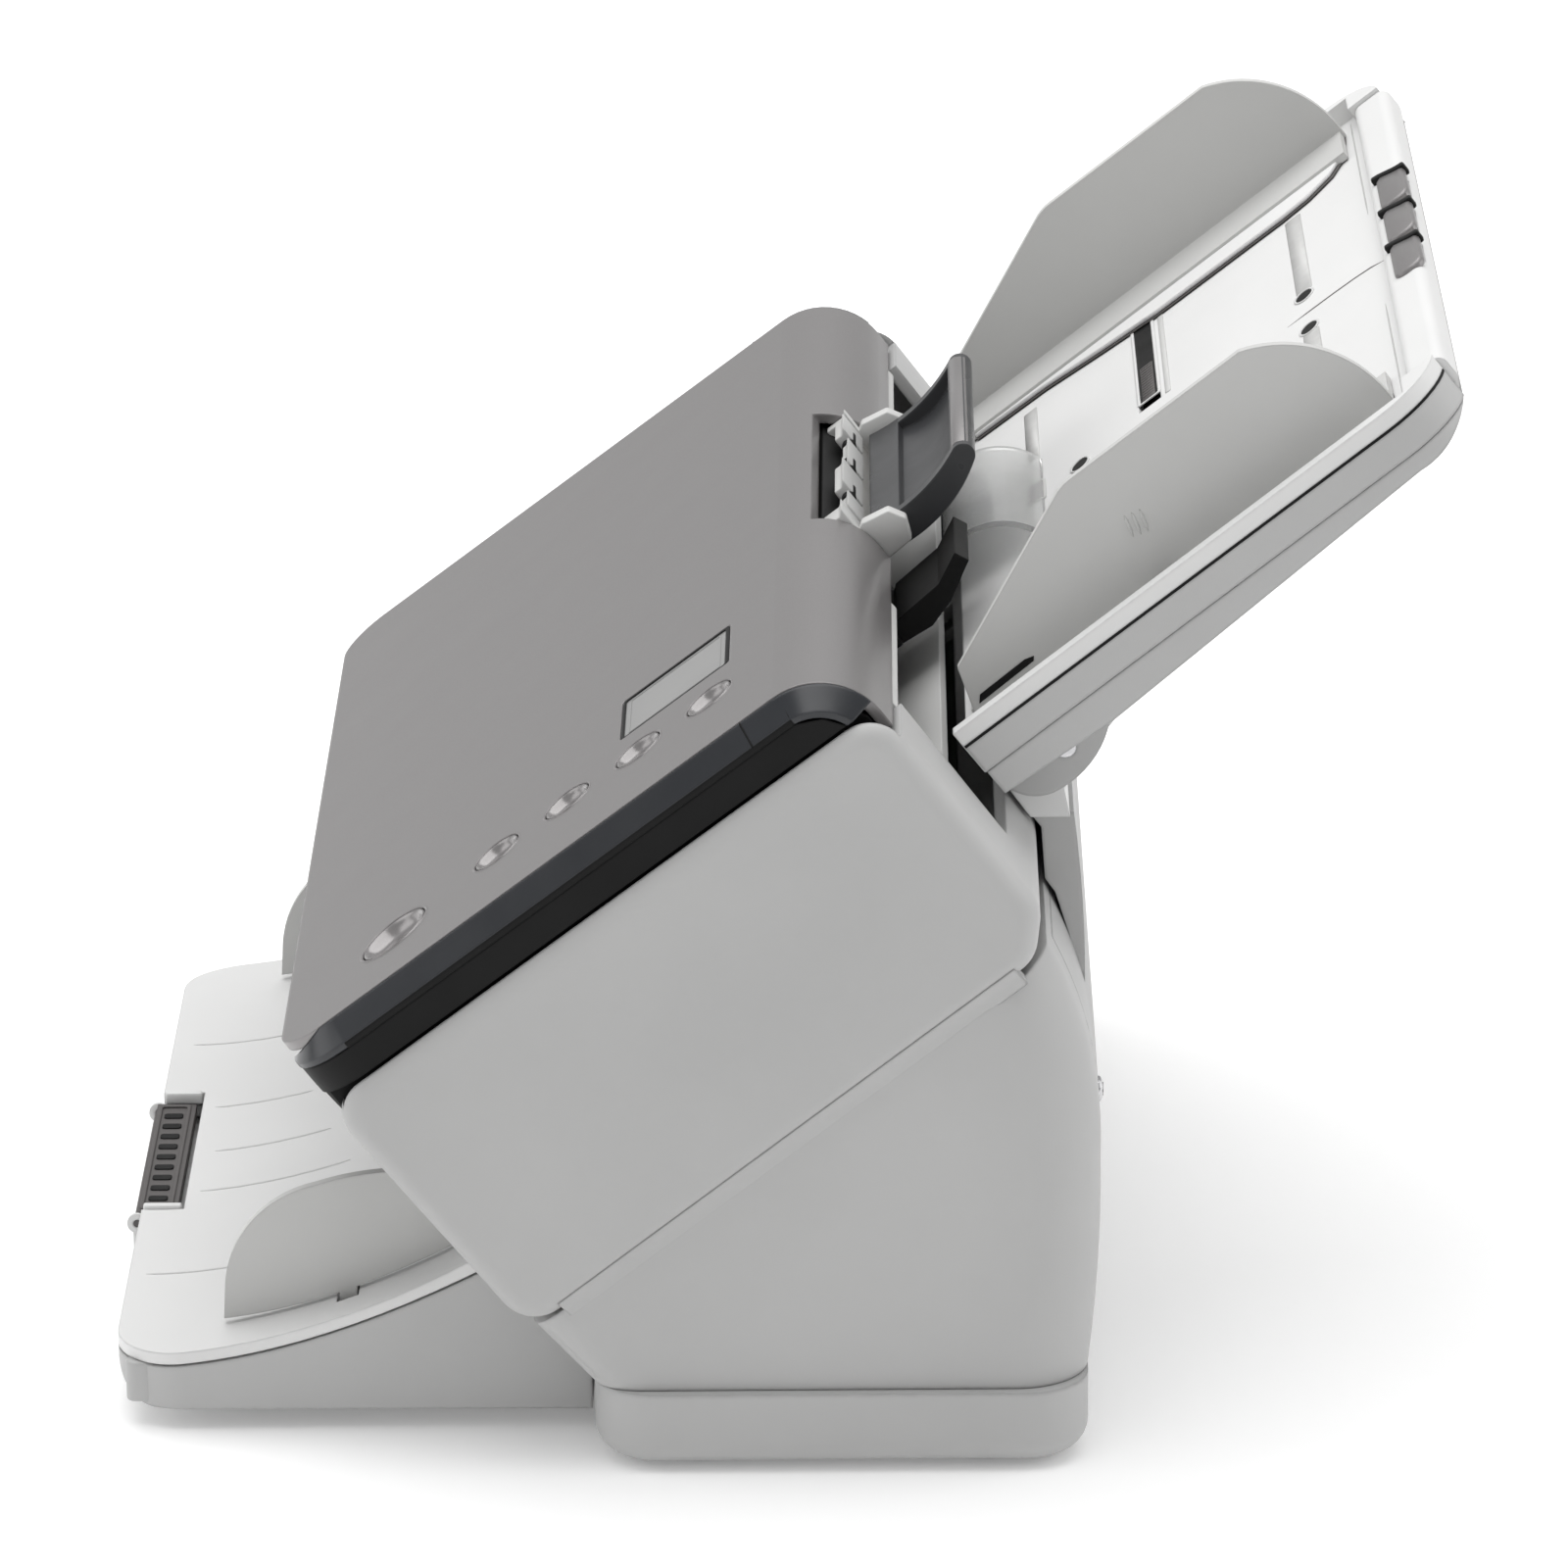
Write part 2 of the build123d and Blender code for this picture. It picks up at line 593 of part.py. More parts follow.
save(cover_bezel, "cover_bezel")

box_outline = [(-11.2, -6.5), (-10.0, rim_depth + 0.4), (-8.0, -31), (-3, -36), (108, -36),
               (139.8, -23), (139.8, -16), (134, -6.5)]
band_outline = [(-12.1, -6.5), (-11.0, rim_depth + 0.4), (135.8, rim_depth + 0.4), (132.6, -9.2), (127, -6.5)]
hinge_u, hinge_n = -2.0, -29.0
gap_pivot, gap_pin = (136.0, -28.5), 1.2
separation_radius = 9.0
separation_n = lower_path + 1.2 + pinch_gap + separation_radius

with BuildPart() as cover_frame:
    with BuildSketch(face_side(0)):
        Polygon(*box_outline, align=None)
    extrude(amount=frame_half_width, both=True)
    with BuildSketch(face_side(0)):
        Polygon(*band_outline, align=None)
    extrude(amount=bezel_half_width - 0.3, both=True)
    with BuildSketch(face_plane(-40)) as plan:
        with Locations((0, 64)):
            Rectangle(2 * bezel_half_width - 0.6, 152.4)
        fillet(plan.vertices().filter_by(lambda v: v.Y < 0), 14.7)
    extrude(amount=40, mode=Mode.INTERSECT)
    with BuildSketch(face_side(0)):
        Polygon(*box_outline, align=None)
        offset(amount=-wall)
        with Locations((60, -4)):
            Rectangle(132, 12)
        with Locations((52, -36)):
            Rectangle(104, 6)
    extrude(amount=frame_half_width - wall, both=True, mode=Mode.SUBTRACT)
    with BuildSketch(face_side(0)):
        with Locations((hinge_u, hinge_n)):
            Circle(3.0 + running_fit)
    extrude(amount=frame_half_width + 2, both=True, mode=Mode.SUBTRACT)
    with BuildSketch(face_plane(-30)):
        with Locations((sum(notch) / 2, 141)):
            Rectangle(notch[1] - notch[0], 8)
    extrude(amount=40, mode=Mode.SUBTRACT)
    with BuildSketch(face_plane(-40)):
        with Locations((0, feed_u)):
            Rectangle(53, 21)
    extrude(amount=30, mode=Mode.SUBTRACT)
    for side in (-1, 1):
        with BuildSketch(face_side(side * 26.5)):
            Polygon((feed_u - 7, -33), (feed_u + 7, -32), (feed_u + 7, -17), (feed_u - 7, -17), align=None)
        extrude(amount=side * 3)
    with BuildSketch(face_side(0)):
        with Locations((feed_u, -17.5)):
            Rectangle(14, 2)
    extrude(amount=29.5, both=True)
    with BuildSketch(face_side(0)):
        with Locations((feed_u, separation_n)):
            Circle(2.0 + running_fit)
    extrude(amount=32, both=True, mode=Mode.SUBTRACT)
    for x_low, x_high in ((24.0, 26.7), (54.3, 57.0)):
        with BuildSketch(face_side(x_low)):
            Polygon((132.5, -25.2), (138.4, -22.8), (138.4, -31.2), (132.5, -31.2), align=None)
        extrude(amount=x_high - x_low)
    with BuildSketch(face_side(24)):
        with Locations(gap_pivot):
            Circle(gap_pin + running_fit)
    extrude(amount=33, mode=Mode.SUBTRACT)
save(cover_frame, "cover_frame")

with BuildPart() as hinge_pins:
    for side in (-1, 1):
        with BuildSketch(face_side(side * 141.5)):
            with Locations((hinge_u, hinge_n)):
                Circle(3.0)
        extrude(amount=side * (body_half_width - 3 - 141.5))
        with BuildSketch(tray_side(side * 88)):
            with Locations((tray_hinge_t, tray_hinge_m)):
                Circle(2.5)
        extrude(amount=side * 20)
save(hinge_pins, "hinge_pins")

pinch_n = lower_path + 1.2 + pinch_gap + pinch_radius
with BuildPart() as front_paper_guide:
    with BuildSketch(face_side(0)):
        Polygon((1.5, upper_path), (103, upper_path), (106, -36.2), (1.5, -36.2), align=None)
    extrude(amount=path_half_width, both=True)
    for name, u in (("drive", drive_u), ("exit", exit_u)):
        with BuildSketch(face_plane(-39)):
            with Locations(*[(x, u) for x in tyre_rows[name]]):
                Rectangle(tyre_width + 3, 2 * pinch_radius + 1)
        extrude(amount=5, mode=Mode.SUBTRACT)
    with BuildSketch(face_plane(-39)):
        with Locations((0, sum(front_glass) / 2)):
            Rectangle(2 * 112 + 0.4, front_glass[1] - front_glass[0] + 0.4)
    extrude(amount=5, mode=Mode.SUBTRACT)
    for u in (exit_u, drive_u):
        for side in (-1, 1):
            with BuildSketch(face_side(side * 110)):
                with Locations((u, -31)):
                    Rectangle(12, 10.4)
                with Locations((u, pinch_n)):
                    Circle(2.0 + running_fit, mode=Mode.SUBTRACT)
            extrude(amount=side * 4)
save(front_paper_guide, "front_paper_guide")

with BuildPart() as front_scan_glass:
    with BuildSketch(face_plane(upper_path + 0.1)):
        with Locations((0, sum(front_glass) / 2)):
            Rectangle(2 * 112, front_glass[1] - front_glass[0])
    extrude(amount=1.9)
save(front_scan_glass, "front_scan_glass")

with BuildPart() as front_scan_bar:
    with BuildSketch(face_plane(-36.1)):
        with Locations((0, sum(front_glass) / 2)):
            Rectangle(2 * 114, 18)
    extrude(amount=14.6)
    with BuildSketch(face_plane(-36.1)):
        with Locations((0, sum(front_glass) / 2)):
            Rectangle(2 * 108, 8)
    extrude(amount=9, mode=Mode.SUBTRACT)
save(front_scan_bar, "front_scan_bar")

for name, u in (("upper_pinch_roller", drive_u), ("lower_pinch_roller", exit_u)):
    with BuildPart() as pinch:
        with BuildSketch(face_side(-116)):
            with Locations((u, pinch_n)):
                Circle(2.0)
        extrude(amount=232)
        for x in tyre_rows["drive"]:
            with BuildSketch(face_side(x - tyre_width / 2)):
                with Locations((u, pinch_n)):
                    Circle(pinch_radius)
            extrude(amount=tyre_width)
    save(pinch, name)

with BuildPart() as separation_roller:
    with BuildSketch(face_side(-30)):
        with Locations((feed_u, separation_n)):
            Circle(2.0)
    extrude(amount=60)
    for x in tyre_rows["feed"]:
        with BuildSketch(face_side(x - tyre_width / 2)):
            with Locations((feed_u, separation_n)):
                Circle(separation_radius)
        extrude(amount=tyre_width)
save(separation_roller, "separation_roller")

with BuildPart() as control_board:
    with BuildSketch(face_plane(-10.4)):
        with Locations((100, 66)):
            Rectangle(64, 118)
    extrude(amount=1.6)
    with BuildSketch(face_plane(-8.8)):
        with Locations(*key_spots, (power_x, power_u)):
            Rectangle(5, 5)
    extrude(amount=1.9)
save(control_board, "control_board")

with BuildPart() as display_window:
    with BuildSketch(face_plane(-7.6)):
        with Locations((display[0], display[1])):
            Rectangle(display[2] - 2, display[3] - 2)
    extrude(amount=5)
    with BuildSketch(face_plane(-2.6)):
        with Locations((display[0], display[1])):
            RectangleRounded(display[2] - 0.4, display[3] - 0.4, 0.8)
    extrude(amount=2.3)
save(display_window, "display_window")


def push_button(name, x, u, radius):
    """A round dished key: cap, dish and stem over the switch."""
    with BuildPart() as button:
        with BuildSketch(face_plane(-5.2)):
            with Locations((x, u)):
                Circle(radius)
        extrude(amount=4.8)
        with Locations(face_plane(-0.4).from_local_coords(Vector(x, u, 2.6 * radius))):
            Sphere(2.6 * radius + 0.9, mode=Mode.SUBTRACT)
        with BuildSketch(face_plane(-5.2)):
            with Locations((x, u)):
                Circle(1.6)
        extrude(amount=-0.4)
    save(button, name)


push_button("power_button", power_x, power_u, power_radius)
for number, (x, u) in enumerate(key_spots, start=1):
    push_button(f"key_{number}", x, u, key_radius)

# ---- release lever and gap lever ----------------------------------------------------
lever_x = (-50.0, 22.0)
lever_half, lever_middle = span(*lever_x)
lever_pivot_u, lever_pivot_n = 146.5, -17.0
with BuildPart() as release_lever:
    with BuildSketch(face_side(lever_x[0])) as paddle:
        with BuildLine():
            Line((141.6, -19.6), (142.6, -13.4))
            ThreePointArc((142.6, -13.4), (156, -13.8), (169.5, -9.8))
            ThreePointArc((169.5, -9.8), (172.8, -11.2), (172.0, -14.8))
            ThreePointArc((172.0, -14.8), (160, -20.4), (146.0, -21.4))
            Line((146.0, -21.4), (141.6, -19.6))
        make_face()
    extrude(amount=lever_x[1] - lever_x[0])
    with BuildSketch(face_side(lever_x[0] + 3.5)):
        with BuildLine():
            Line((150.5, -8), (150.5, -16.2))
            ThreePointArc((150.5, -16.2), (160, -16.6), (168.2, -12.4))
            Line((168.2, -12.4), (168.2, -8))
            Line((168.2, -8), (150.5, -8))
        make_face()
    extrude(amount=lever_x[1] - lever_x[0] - 7, mode=Mode.SUBTRACT)
    with BuildSketch(face_side(lever_x[0])):
        with Locations((lever_pivot_u, lever_pivot_n)):
            Circle(1.5 + running_fit)
    extrude(amount=lever_x[1] - lever_x[0], mode=Mode.SUBTRACT)
save(release_lever, "release_lever")

with BuildPart() as lever_bracket:
    for x_low, x_high in ((-53.5, -50.5), (22.5, 25.5)):
        with BuildSketch(face_side(x_low)):
            Polygon((137, -20.6), (149, -20.6), (149, -14.2), (140, -13.6), (137, -12), align=None)
        extrude(amount=x_high - x_low)
    with BuildSketch(face_side(-53.5)):
        Polygon((137, -20.6), (139.4, -20.6), (139.4, -13.6), (137, -12), align=None)
    extrude(amount=79)
    with BuildSketch(face_side(-53.5)):
        with Locations((lever_pivot_u, lever_pivot_n)):
            Circle(1.5)
    extrude(amount=79)
save(lever_bracket, "lever_bracket")

with BuildPart() as gap_lever:
    with BuildSketch(face_side(27)) as hook:
        with BuildLine():
            Polyline((134.5, -31.5), (140, -26.5), (153, -25.4), (160.5, -21.6), (162, -25), (153, -30.2),
                     (146, -32.5), (134.5, -31.5))
        make_face()
        with Locations(gap_pivot):
            Circle(3)
    extrude(amount=27)
    with BuildSketch(face_side(24.5)):
        with Locations(gap_pivot):
            Circle(gap_pin)
    extrude(amount=32)
save(gap_lever, "gap_lever")

# ---- input tray ---------------------------------------------------------------------
with BuildPart() as tray_shell:
    with BuildSketch(tray_side(0)):
        with BuildLine():
            Polyline((tray_length - 0.4, tray_parting - 0.4), (0.5, tray_parting - 0.4), (0.5, -13.2),
                     (30, -14.6), (118, -10.8))
            ThreePointArc((118, -10.8), (128, -9.7), (tray_length - 0.4, tray_parting - 0.4))
        make_face()
    extrude(amount=tray_half_width, both=True)
    with BuildSketch(tray_plane(-30)) as plan:
        with Locations((0, tray_length / 2)):
            Rectangle(2 * tray_half_width, tray_length)
        fillet(plan.vertices().filter_by(lambda v: v.Y > 100), 16)
    extrude(amount=60, mode=Mode.INTERSECT)
    with BuildSketch(tray_side(0)):
        Polygon((3, 0), (3, -11.0), (30, -12.4), (116, -8.7), (125, -7.8), (125, 0), align=None)
    extrude(amount=tray_half_width - 3, both=True, mode=Mode.SUBTRACT)
    with BuildSketch(tray_side(0)):
        with Locations((6.8, -12)):
            Rectangle(24, 20)
    extrude(amount=hump_half_width + 1, both=True, mode=Mode.SUBTRACT)
    for side in (-1, 1):
        with BuildSketch(tray_side(side * (hump_half_width + 0.6))):
            with BuildLine():
                Line((-2, -12.4), (-2.2, -16.8))
                ThreePointArc((-2.2, -16.8), (0.6, -22.4), (5.3, -25.1))
                ThreePointArc((5.3, -25.1), (20.7, -22.9), (30.2, -13.6))
                Line((30.2, -13.6), (30, -12.4))
                Line((30, -12.4), (-2, -12.4))
            make_face()
            with Locations((tray_hinge_t, tray_hinge_m)):
                Circle(2.5 + running_fit, mode=Mode.SUBTRACT)
        extrude(amount=side * 7)
save(tray_shell, "tray_shell")

slot_t, slot_half = 57.0, 3.2
extender_half_width = 62.0
bar_start = 125.0
with BuildPart() as tray_floor:
    with BuildSketch(tray_side(0)):
        Polygon((0, tray_parting), (0, tray_rim), (tray_length, tray_rim), (tray_length, tray_parting),
                align=None)
    extrude(amount=tray_half_width, both=True)
    with BuildSketch(tray_plane(-30)) as plan:
        with Locations((0, tray_length / 2)):
            Rectangle(2 * tray_half_width, tray_length)
        fillet(plan.vertices().filter_by(lambda v: v.Y > 100), 16)
    extrude(amount=60, mode=Mode.INTERSECT)
    with BuildSketch(tray_plane(0)):
        with Locations((0, 58)):
            Rectangle(2 * (tray_half_width - 4), 134)
    extrude(amount=10, mode=Mode.SUBTRACT)
    with BuildSketch(tray_plane(-2.2)):
        with Locations((0, 58)):
            Rectangle(2 * (tray_half_width - 4), 134)
    extrude(amount=-10, mode=Mode.SUBTRACT)
    with BuildSketch(tray_plane(-30)):
        with Locations((0, 135)):
            Rectangle(2 * 112, 2 * (135 - bar_start))
        for side in (-1, 1):
            with Locations((side * 67, slot_t)):
                Rectangle(98, 2 * slot_half)
    extrude(amount=60, mode=Mode.SUBTRACT)
    with BuildSketch(tray_plane(-1)):
        with Locations((0, slot_t)):
            Circle(stub_radius)
    extrude(amount=-6.0)
save(tray_floor, "tray_floor")

with BuildPart() as tray_extender:
    with BuildSketch(tray_side(0)) as bar:
        with BuildLine():
            Polyline((tray_length + 1.5, -1), (tray_length + 1.5, tray_rim - 1),
                     (bar_start + 0.4, tray_rim - 1), (bar_start + 0.4, tray_parting + 0.2),
                     (131, tray_parting + 0.2))
            ThreePointArc((131, tray_parting + 0.2), (134.3, -4.6), (tray_length + 1.5, -1))
        make_face()
        fillet(bar.vertices().group_by(Axis.Z)[-1], 2.5)
    extrude(amount=111.6, both=True)
    with BuildSketch(tray_plane(-4.8)):
        with Locations((0, 99)):
            Rectangle(2 * extender_half_width, 54)
    extrude(amount=1.8)
    for side in (-1, 1):
        with BuildSketch(tray_side(side * 34)):
            with Locations((tray_length - 1, tray_rim - 1)):
                Rectangle(9, 5)
        extrude(amount=-side * 34, mode=Mode.SUBTRACT)
save(tray_extender, "tray_extender")

with BuildPart() as extender_grip:
    with BuildSketch(tray_side(0)) as pad:
        Polygon((bar_start + 4.6, tray_rim - 3.3), (bar_start + 4.6, tray_rim - 0.6),
                (tray_length + 1.3, tray_rim - 0.6), (tray_length + 1.3, tray_rim - 3.3), align=None)
    extrude(amount=33.6, both=True)
save(extender_grip, "extender_grip")

guide_travel = 50.0
rack_pitch = pi * gear_module
guide_teeth = 14
guide_pitch = gear_module * guide_teeth / 2


def rack_outline(toward, start, count):
    """Teeth of a straight rack whose pitch line is at the pinion's pitch circle."""
    line = slot_t + toward * guide_pitch
    top, root = line - toward * 0.9 * gear_module, line + toward * 1.2 * gear_module
    back = line + toward * 5.0
    slope = tan(radians(pressure_angle))
    half = rack_pitch / 4 * 0.86
    points = [(start - rack_pitch / 2, back), (start - rack_pitch / 2, root)]
    for i in range(count):
        middle = start + i * rack_pitch
        wide = half + 1.2 * gear_module * slope
        narrow = half - 0.9 * gear_module * slope
        points += [(middle - wide, root), (middle - narrow, top)]
        points += [(middle + narrow, top), (middle + wide, root)]
    end = start + (count - 0.5) * rack_pitch
    return points + [(end, root), (end, back)]


def side_guide(name, side):
    """Upright paper guide with its flange, stem and rack; side is +1 on the right."""
    inner = side * guide_offset
    outer = side * (guide_offset + 2.4)
    low, high = min(inner, outer), max(inner, outer)
    with BuildPart() as guide:
        with BuildSketch(tray_side(low)):
            with BuildLine():
                Line((3.5, 0.4), (7.5, 12.5))
                Line((7.5, 12.5), (50, 31))
                ThreePointArc((50, 31), (52.5, 31.6), (55, 31.7))
                Line((55, 31.7), (101, 31.7))
                ThreePointArc((101, 31.7), (112.5, 24.5), (121, 4.5))
                Line((121, 4.5), (121, 0.4))
                Line((121, 0.4), (3.5, 0.4))
            make_face()
        extrude(amount=high - low)
        with BuildSketch(tray_plane(0.4)):
            with Locations((side * (guide_offset - 8.8), 62)):
                Rectangle(20, 117)
        extrude(amount=2.0)
        with BuildSketch(tray_plane(0.4)):
            with Locations((side * 104, slot_t)):
                Rectangle(14, 2 * slot_half - 0.8)
        extrude(amount=-3.4)
        with BuildSketch(tray_plane(-3.0)):
            with Locations((side * 104, slot_t + side * 4.5)):
                Rectangle(14, 15)
        extrude(amount=-2.2)
        rack_start = side * 0.5 * rack_pitch - (0 if side > 0 else 29 * rack_pitch)
        with BuildSketch(tray_plane(-5.2)):
            Polygon(*rack_outline(side, rack_start - side * 2 * rack_pitch, 30), align=None)
            with Locations((side * 94, slot_t + side * (guide_pitch + 3))):
                Rectangle(14, 4)
        extrude(amount=2.2)
    save(guide, name)


side_guide("side_guide_right", 1)
side_guide("side_guide_left", -1)

pinion_phase_guide = 90.0
with BuildPart() as guide_pinion:
    with BuildSketch(tray_plane(-6.0)):
        with Locations((0, slot_t)):
            Polygon(*gear_outline(guide_teeth, pinion_phase_guide), align=None)
            Circle(stub_radius + running_fit, mode=Mode.SUBTRACT)
    extrude(amount=3.2)
save(guide_pinion, "guide_pinion")

with BuildPart() as paper_flap:
    with BuildSketch(tray_side(-38)):
        with BuildLine():
            ThreePointArc((4.0, 10.6), (14.0, 10.6), (24.0, 0.3))
            Line((24.0, 0.3), (25.4, 0.3))
            ThreePointArc((25.4, 0.3), (14.6, 11.7), (4.0, 11.6))
            Line((4.0, 11.6), (4.0, 10.6))
        make_face()
    extrude(amount=58)
save(paper_flap, "paper_flap")

# ---- output tray --------------------------------------------------------------------
output_front = -149.0


def output_surface():
    """Side line of the output tray's top, front to back."""
    return Spline((output_front, 18.6), (-133, 19.2), (-108, 24.2), (-85, 32.4), (-63.4, 43.4))


with BuildPart() as output_tray_base:
    with BuildSketch(Plane.YZ):
        with BuildLine():
            Spline((output_front, 15.2), (-133, 15.8), (-108, 20.8), (-85, 29.0), (-61.0, 40.4))
            Polyline((-61.0, 40.4), (-40.4, 18.6), (-40.4, 4.8), (-139, 5.2))
            ThreePointArc((-139, 5.2), (-146.8, 8.2), (output_front, 15.2))
        make_face()
    extrude(amount=output_half_width, both=True)
    with BuildSketch(Plane.XY.offset(-1)) as plan:
        with Locations((0, (output_front - 40) / 2)):
            Rectangle(2 * output_half_width, -40 - output_front)
        fillet(plan.vertices().group_by(Axis.Y)[0], 16)
    extrude(amount=60, mode=Mode.INTERSECT)
    with BuildSketch(Plane.YZ):
        Polygon((-144, 7.4), (-144, 12), (-110, 17), (-86, 25.4), (-66, 34), (-45, 13), (-45, 7.4),
                align=None)
    extrude(amount=output_half_width - 3, both=True, mode=Mode.SUBTRACT)
    with BuildSketch(Plane.XZ.offset(-output_front - 10)):
        with Locations((0, 9.4)):
            Rectangle(86, 3.2)
        with Locations((0, 15)):
            Rectangle(75, 14)
    extrude(amount=16, mode=Mode.SUBTRACT)
    with BuildSketch(Plane.XY.offset(18)):
        for side in (-1, 1):
            with Locations((side * 84, -96)):
                Rectangle(62, 5)
    extrude(amount=20, mode=Mode.SUBTRACT)
save(output_tray_base, "output_tray_base")

with BuildPart() as output_tray_top:
    with BuildSketch(Plane.YZ):
        with BuildLine():
            output_surface()
            Line((-63.4, 43.4), (-61.2, 41.0))
            Spline((-61.2, 41.0), (-85, 29.6), (-108, 21.4), (-133, 16.4), (output_front, 15.8))
            Line((output_front, 15.8), (output_front, 18.6))
        make_face()
    extrude(amount=output_half_width, both=True)
    with BuildSketch(Plane.XY.offset(-1)) as plan:
        with Locations((0, (output_front - 40) / 2)):
            Rectangle(2 * output_half_width, -40 - output_front)
        fillet(plan.vertices().group_by(Axis.Y)[0], 16)
    extrude(amount=60, mode=Mode.INTERSECT)
    with BuildSketch(Plane.XY.offset(-1)):
        with Locations((0, output_front + 3)):
            Rectangle(75, 14)
        for side in (-1, 1):
            with Locations((side * 84, -96)):
                Rectangle(62, 5)
    extrude(amount=60, mode=Mode.SUBTRACT)
save(output_tray_top, "output_tray_top")

with BuildPart() as output_extender:
    with BuildSketch(Plane.XY.offset(8.2)):
        with Locations((0, -104)):
            Rectangle(84, 76)
    extrude(amount=2.0)
    with BuildSketch(Plane.XY.offset(8.2)):
        with Locations((0, output_front + 2.6)):
            Rectangle(72, 9.6)
    extrude(amount=4.4)
    for side in (-1, 1):
        with BuildSketch(Plane.YZ.offset(side * 35)):
            with Locations((-150.2, 14.4)):
                Circle(2.4)
                Circle(1.0, mode=Mode.SUBTRACT)
        extrude(amount=side)
save(output_extender, "output_extender")

with BuildPart() as output_stop:
    with BuildSketch(Plane.YZ.offset(-34.6)):
        with Locations((-145.6, 15.2)):
            Rectangle(9.4, 3.2)
    extrude(amount=69.2)
    with BuildSketch(Plane.YZ.offset(-36.0)):
        with Locations((-150.2, 14.4)):
            Circle(0.95)
    extrude(amount=72.0)
save(output_stop, "output_stop")


def output_guide(name, side):
    """Upright guide of the output tray with its slide foot."""
    inner, outer = side * guide_offset, side * (guide_offset + 2.4)
    low, high = min(inner, outer), max(inner, outer)
    with BuildPart() as guide:
        with BuildSketch(Plane.YZ.offset(low)):
            with BuildLine():
                Line((-124.5, 22.0), (-124.0, 31))
                ThreePointArc((-124.0, 31), (-117, 46.5), (-103, 54.5))
                ThreePointArc((-103, 54.5), (-90, 57.4), (-76.4, 57.6))
                Line((-76.4, 57.6), (-66.4, 45.4))
                Line((-66.4, 45.4), (-66.4, 42.8))
                Spline((-66.4, 42.8), (-85, 33.4), (-108, 25.2), (-124.5, 22.0))
            make_face()
        extrude(amount=high - low)
        with BuildSketch(Plane.XY.offset(19)):
            with Locations((side * (guide_offset + 1.2), -96)):
                Rectangle(2.4, 4)
        extrude(amount=14)
        with BuildSketch(Plane.XY.offset(17.8)):
            with Locations((side * (guide_offset + 1.2), -96)):
                Rectangle(10, 6)
        extrude(amount=1.8)
    save(guide, name)


output_guide("output_guide_right", 1)
output_guide("output_guide_left", -1)

# ---- fasteners ----------------------------------------------------------------------
with BuildPart() as casing_screws:
    with BuildSketch(Plane.XY.offset(foot_height + 0.4)):
        with Locations(*screw_spots):
            Circle(screw_head)
    extrude(amount=screw_sink - 0.4)
    with BuildSketch(Plane.XY.offset(foot_height + screw_sink)):
        with Locations(*screw_spots):
            Circle(screw_radius)
    extrude(amount=8)
save(casing_screws, "casing_screws")

print("hinge points, metres")
for label, plane, spot in (("cover", face_side(0), (hinge_u, hinge_n)),
                           ("lever", face_side(0), (lever_pivot_u, lever_pivot_n)),
                           ("gap", face_side(0), gap_pivot),
                           ("drive", face_side(0), (drive_u, drive_n)),
                           ("idler", face_side(0), (idler_u, drive_n)),
                           ("feed", face_side(0), (feed_u, drive_n)),
                           ("exit", face_side(0), (exit_u, exit_n)),
                           ("motor", face_side(0), (motor_u, motor_n)),
                           ("upper pinch", face_side(0), (drive_u, pinch_n)),
                           ("lower pinch", face_side(0), (exit_u, pinch_n)),
                           ("separation", face_side(0), (feed_u, separation_n)),
                           ("tray", tray_side(0), (tray_hinge_t, tray_hinge_m)),
                           ("pinion", tray_side(0), (slot_t, -4.0))):
    point = plane.from_local_coords(Vector(*spot, 0))
    print(f"{label:12s} {point.X / 1000:.6f} {point.Y / 1000:.6f} {point.Z / 1000:.6f}")
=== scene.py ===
import json
from math import cos, pi, radians, sin

import bmesh
import bpy
from bpy.props import FloatProperty, FloatVectorProperty, IntProperty, PointerProperty
from mathutils import Matrix, Vector


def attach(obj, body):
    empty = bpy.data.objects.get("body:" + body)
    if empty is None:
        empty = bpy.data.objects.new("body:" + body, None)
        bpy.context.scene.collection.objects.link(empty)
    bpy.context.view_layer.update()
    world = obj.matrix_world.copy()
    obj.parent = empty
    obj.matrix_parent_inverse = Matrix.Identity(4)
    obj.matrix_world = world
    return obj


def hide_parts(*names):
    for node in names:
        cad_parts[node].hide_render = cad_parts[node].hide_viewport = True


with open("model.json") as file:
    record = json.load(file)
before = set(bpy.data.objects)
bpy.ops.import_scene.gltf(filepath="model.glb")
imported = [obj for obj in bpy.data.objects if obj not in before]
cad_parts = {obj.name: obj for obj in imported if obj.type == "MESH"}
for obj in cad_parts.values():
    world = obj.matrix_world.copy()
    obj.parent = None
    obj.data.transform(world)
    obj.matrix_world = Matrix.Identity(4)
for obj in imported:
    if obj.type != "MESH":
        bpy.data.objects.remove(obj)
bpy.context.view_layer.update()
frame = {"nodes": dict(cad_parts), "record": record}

bl_info = {
    "name": "Document scanner",
    "version": (1, 0, 0),
    "blender": (4, 5, 0),
    "location": "View3D > Sidebar > Scanner",
    "description": "Dresses the frame of a sheet fed document scanner",
    "category": "Object",
}

MM = 0.001

# The front cover's own axes: u runs up the cover, n stands out of it.
FACE_ANGLE = radians(37)
FACE_ORIGIN = Vector((0, -0.098, 0.10594))
FACE_UP = Vector((0, cos(FACE_ANGLE), sin(FACE_ANGLE)))
FACE_OUT = Vector((0, -sin(FACE_ANGLE), cos(FACE_ANGLE)))

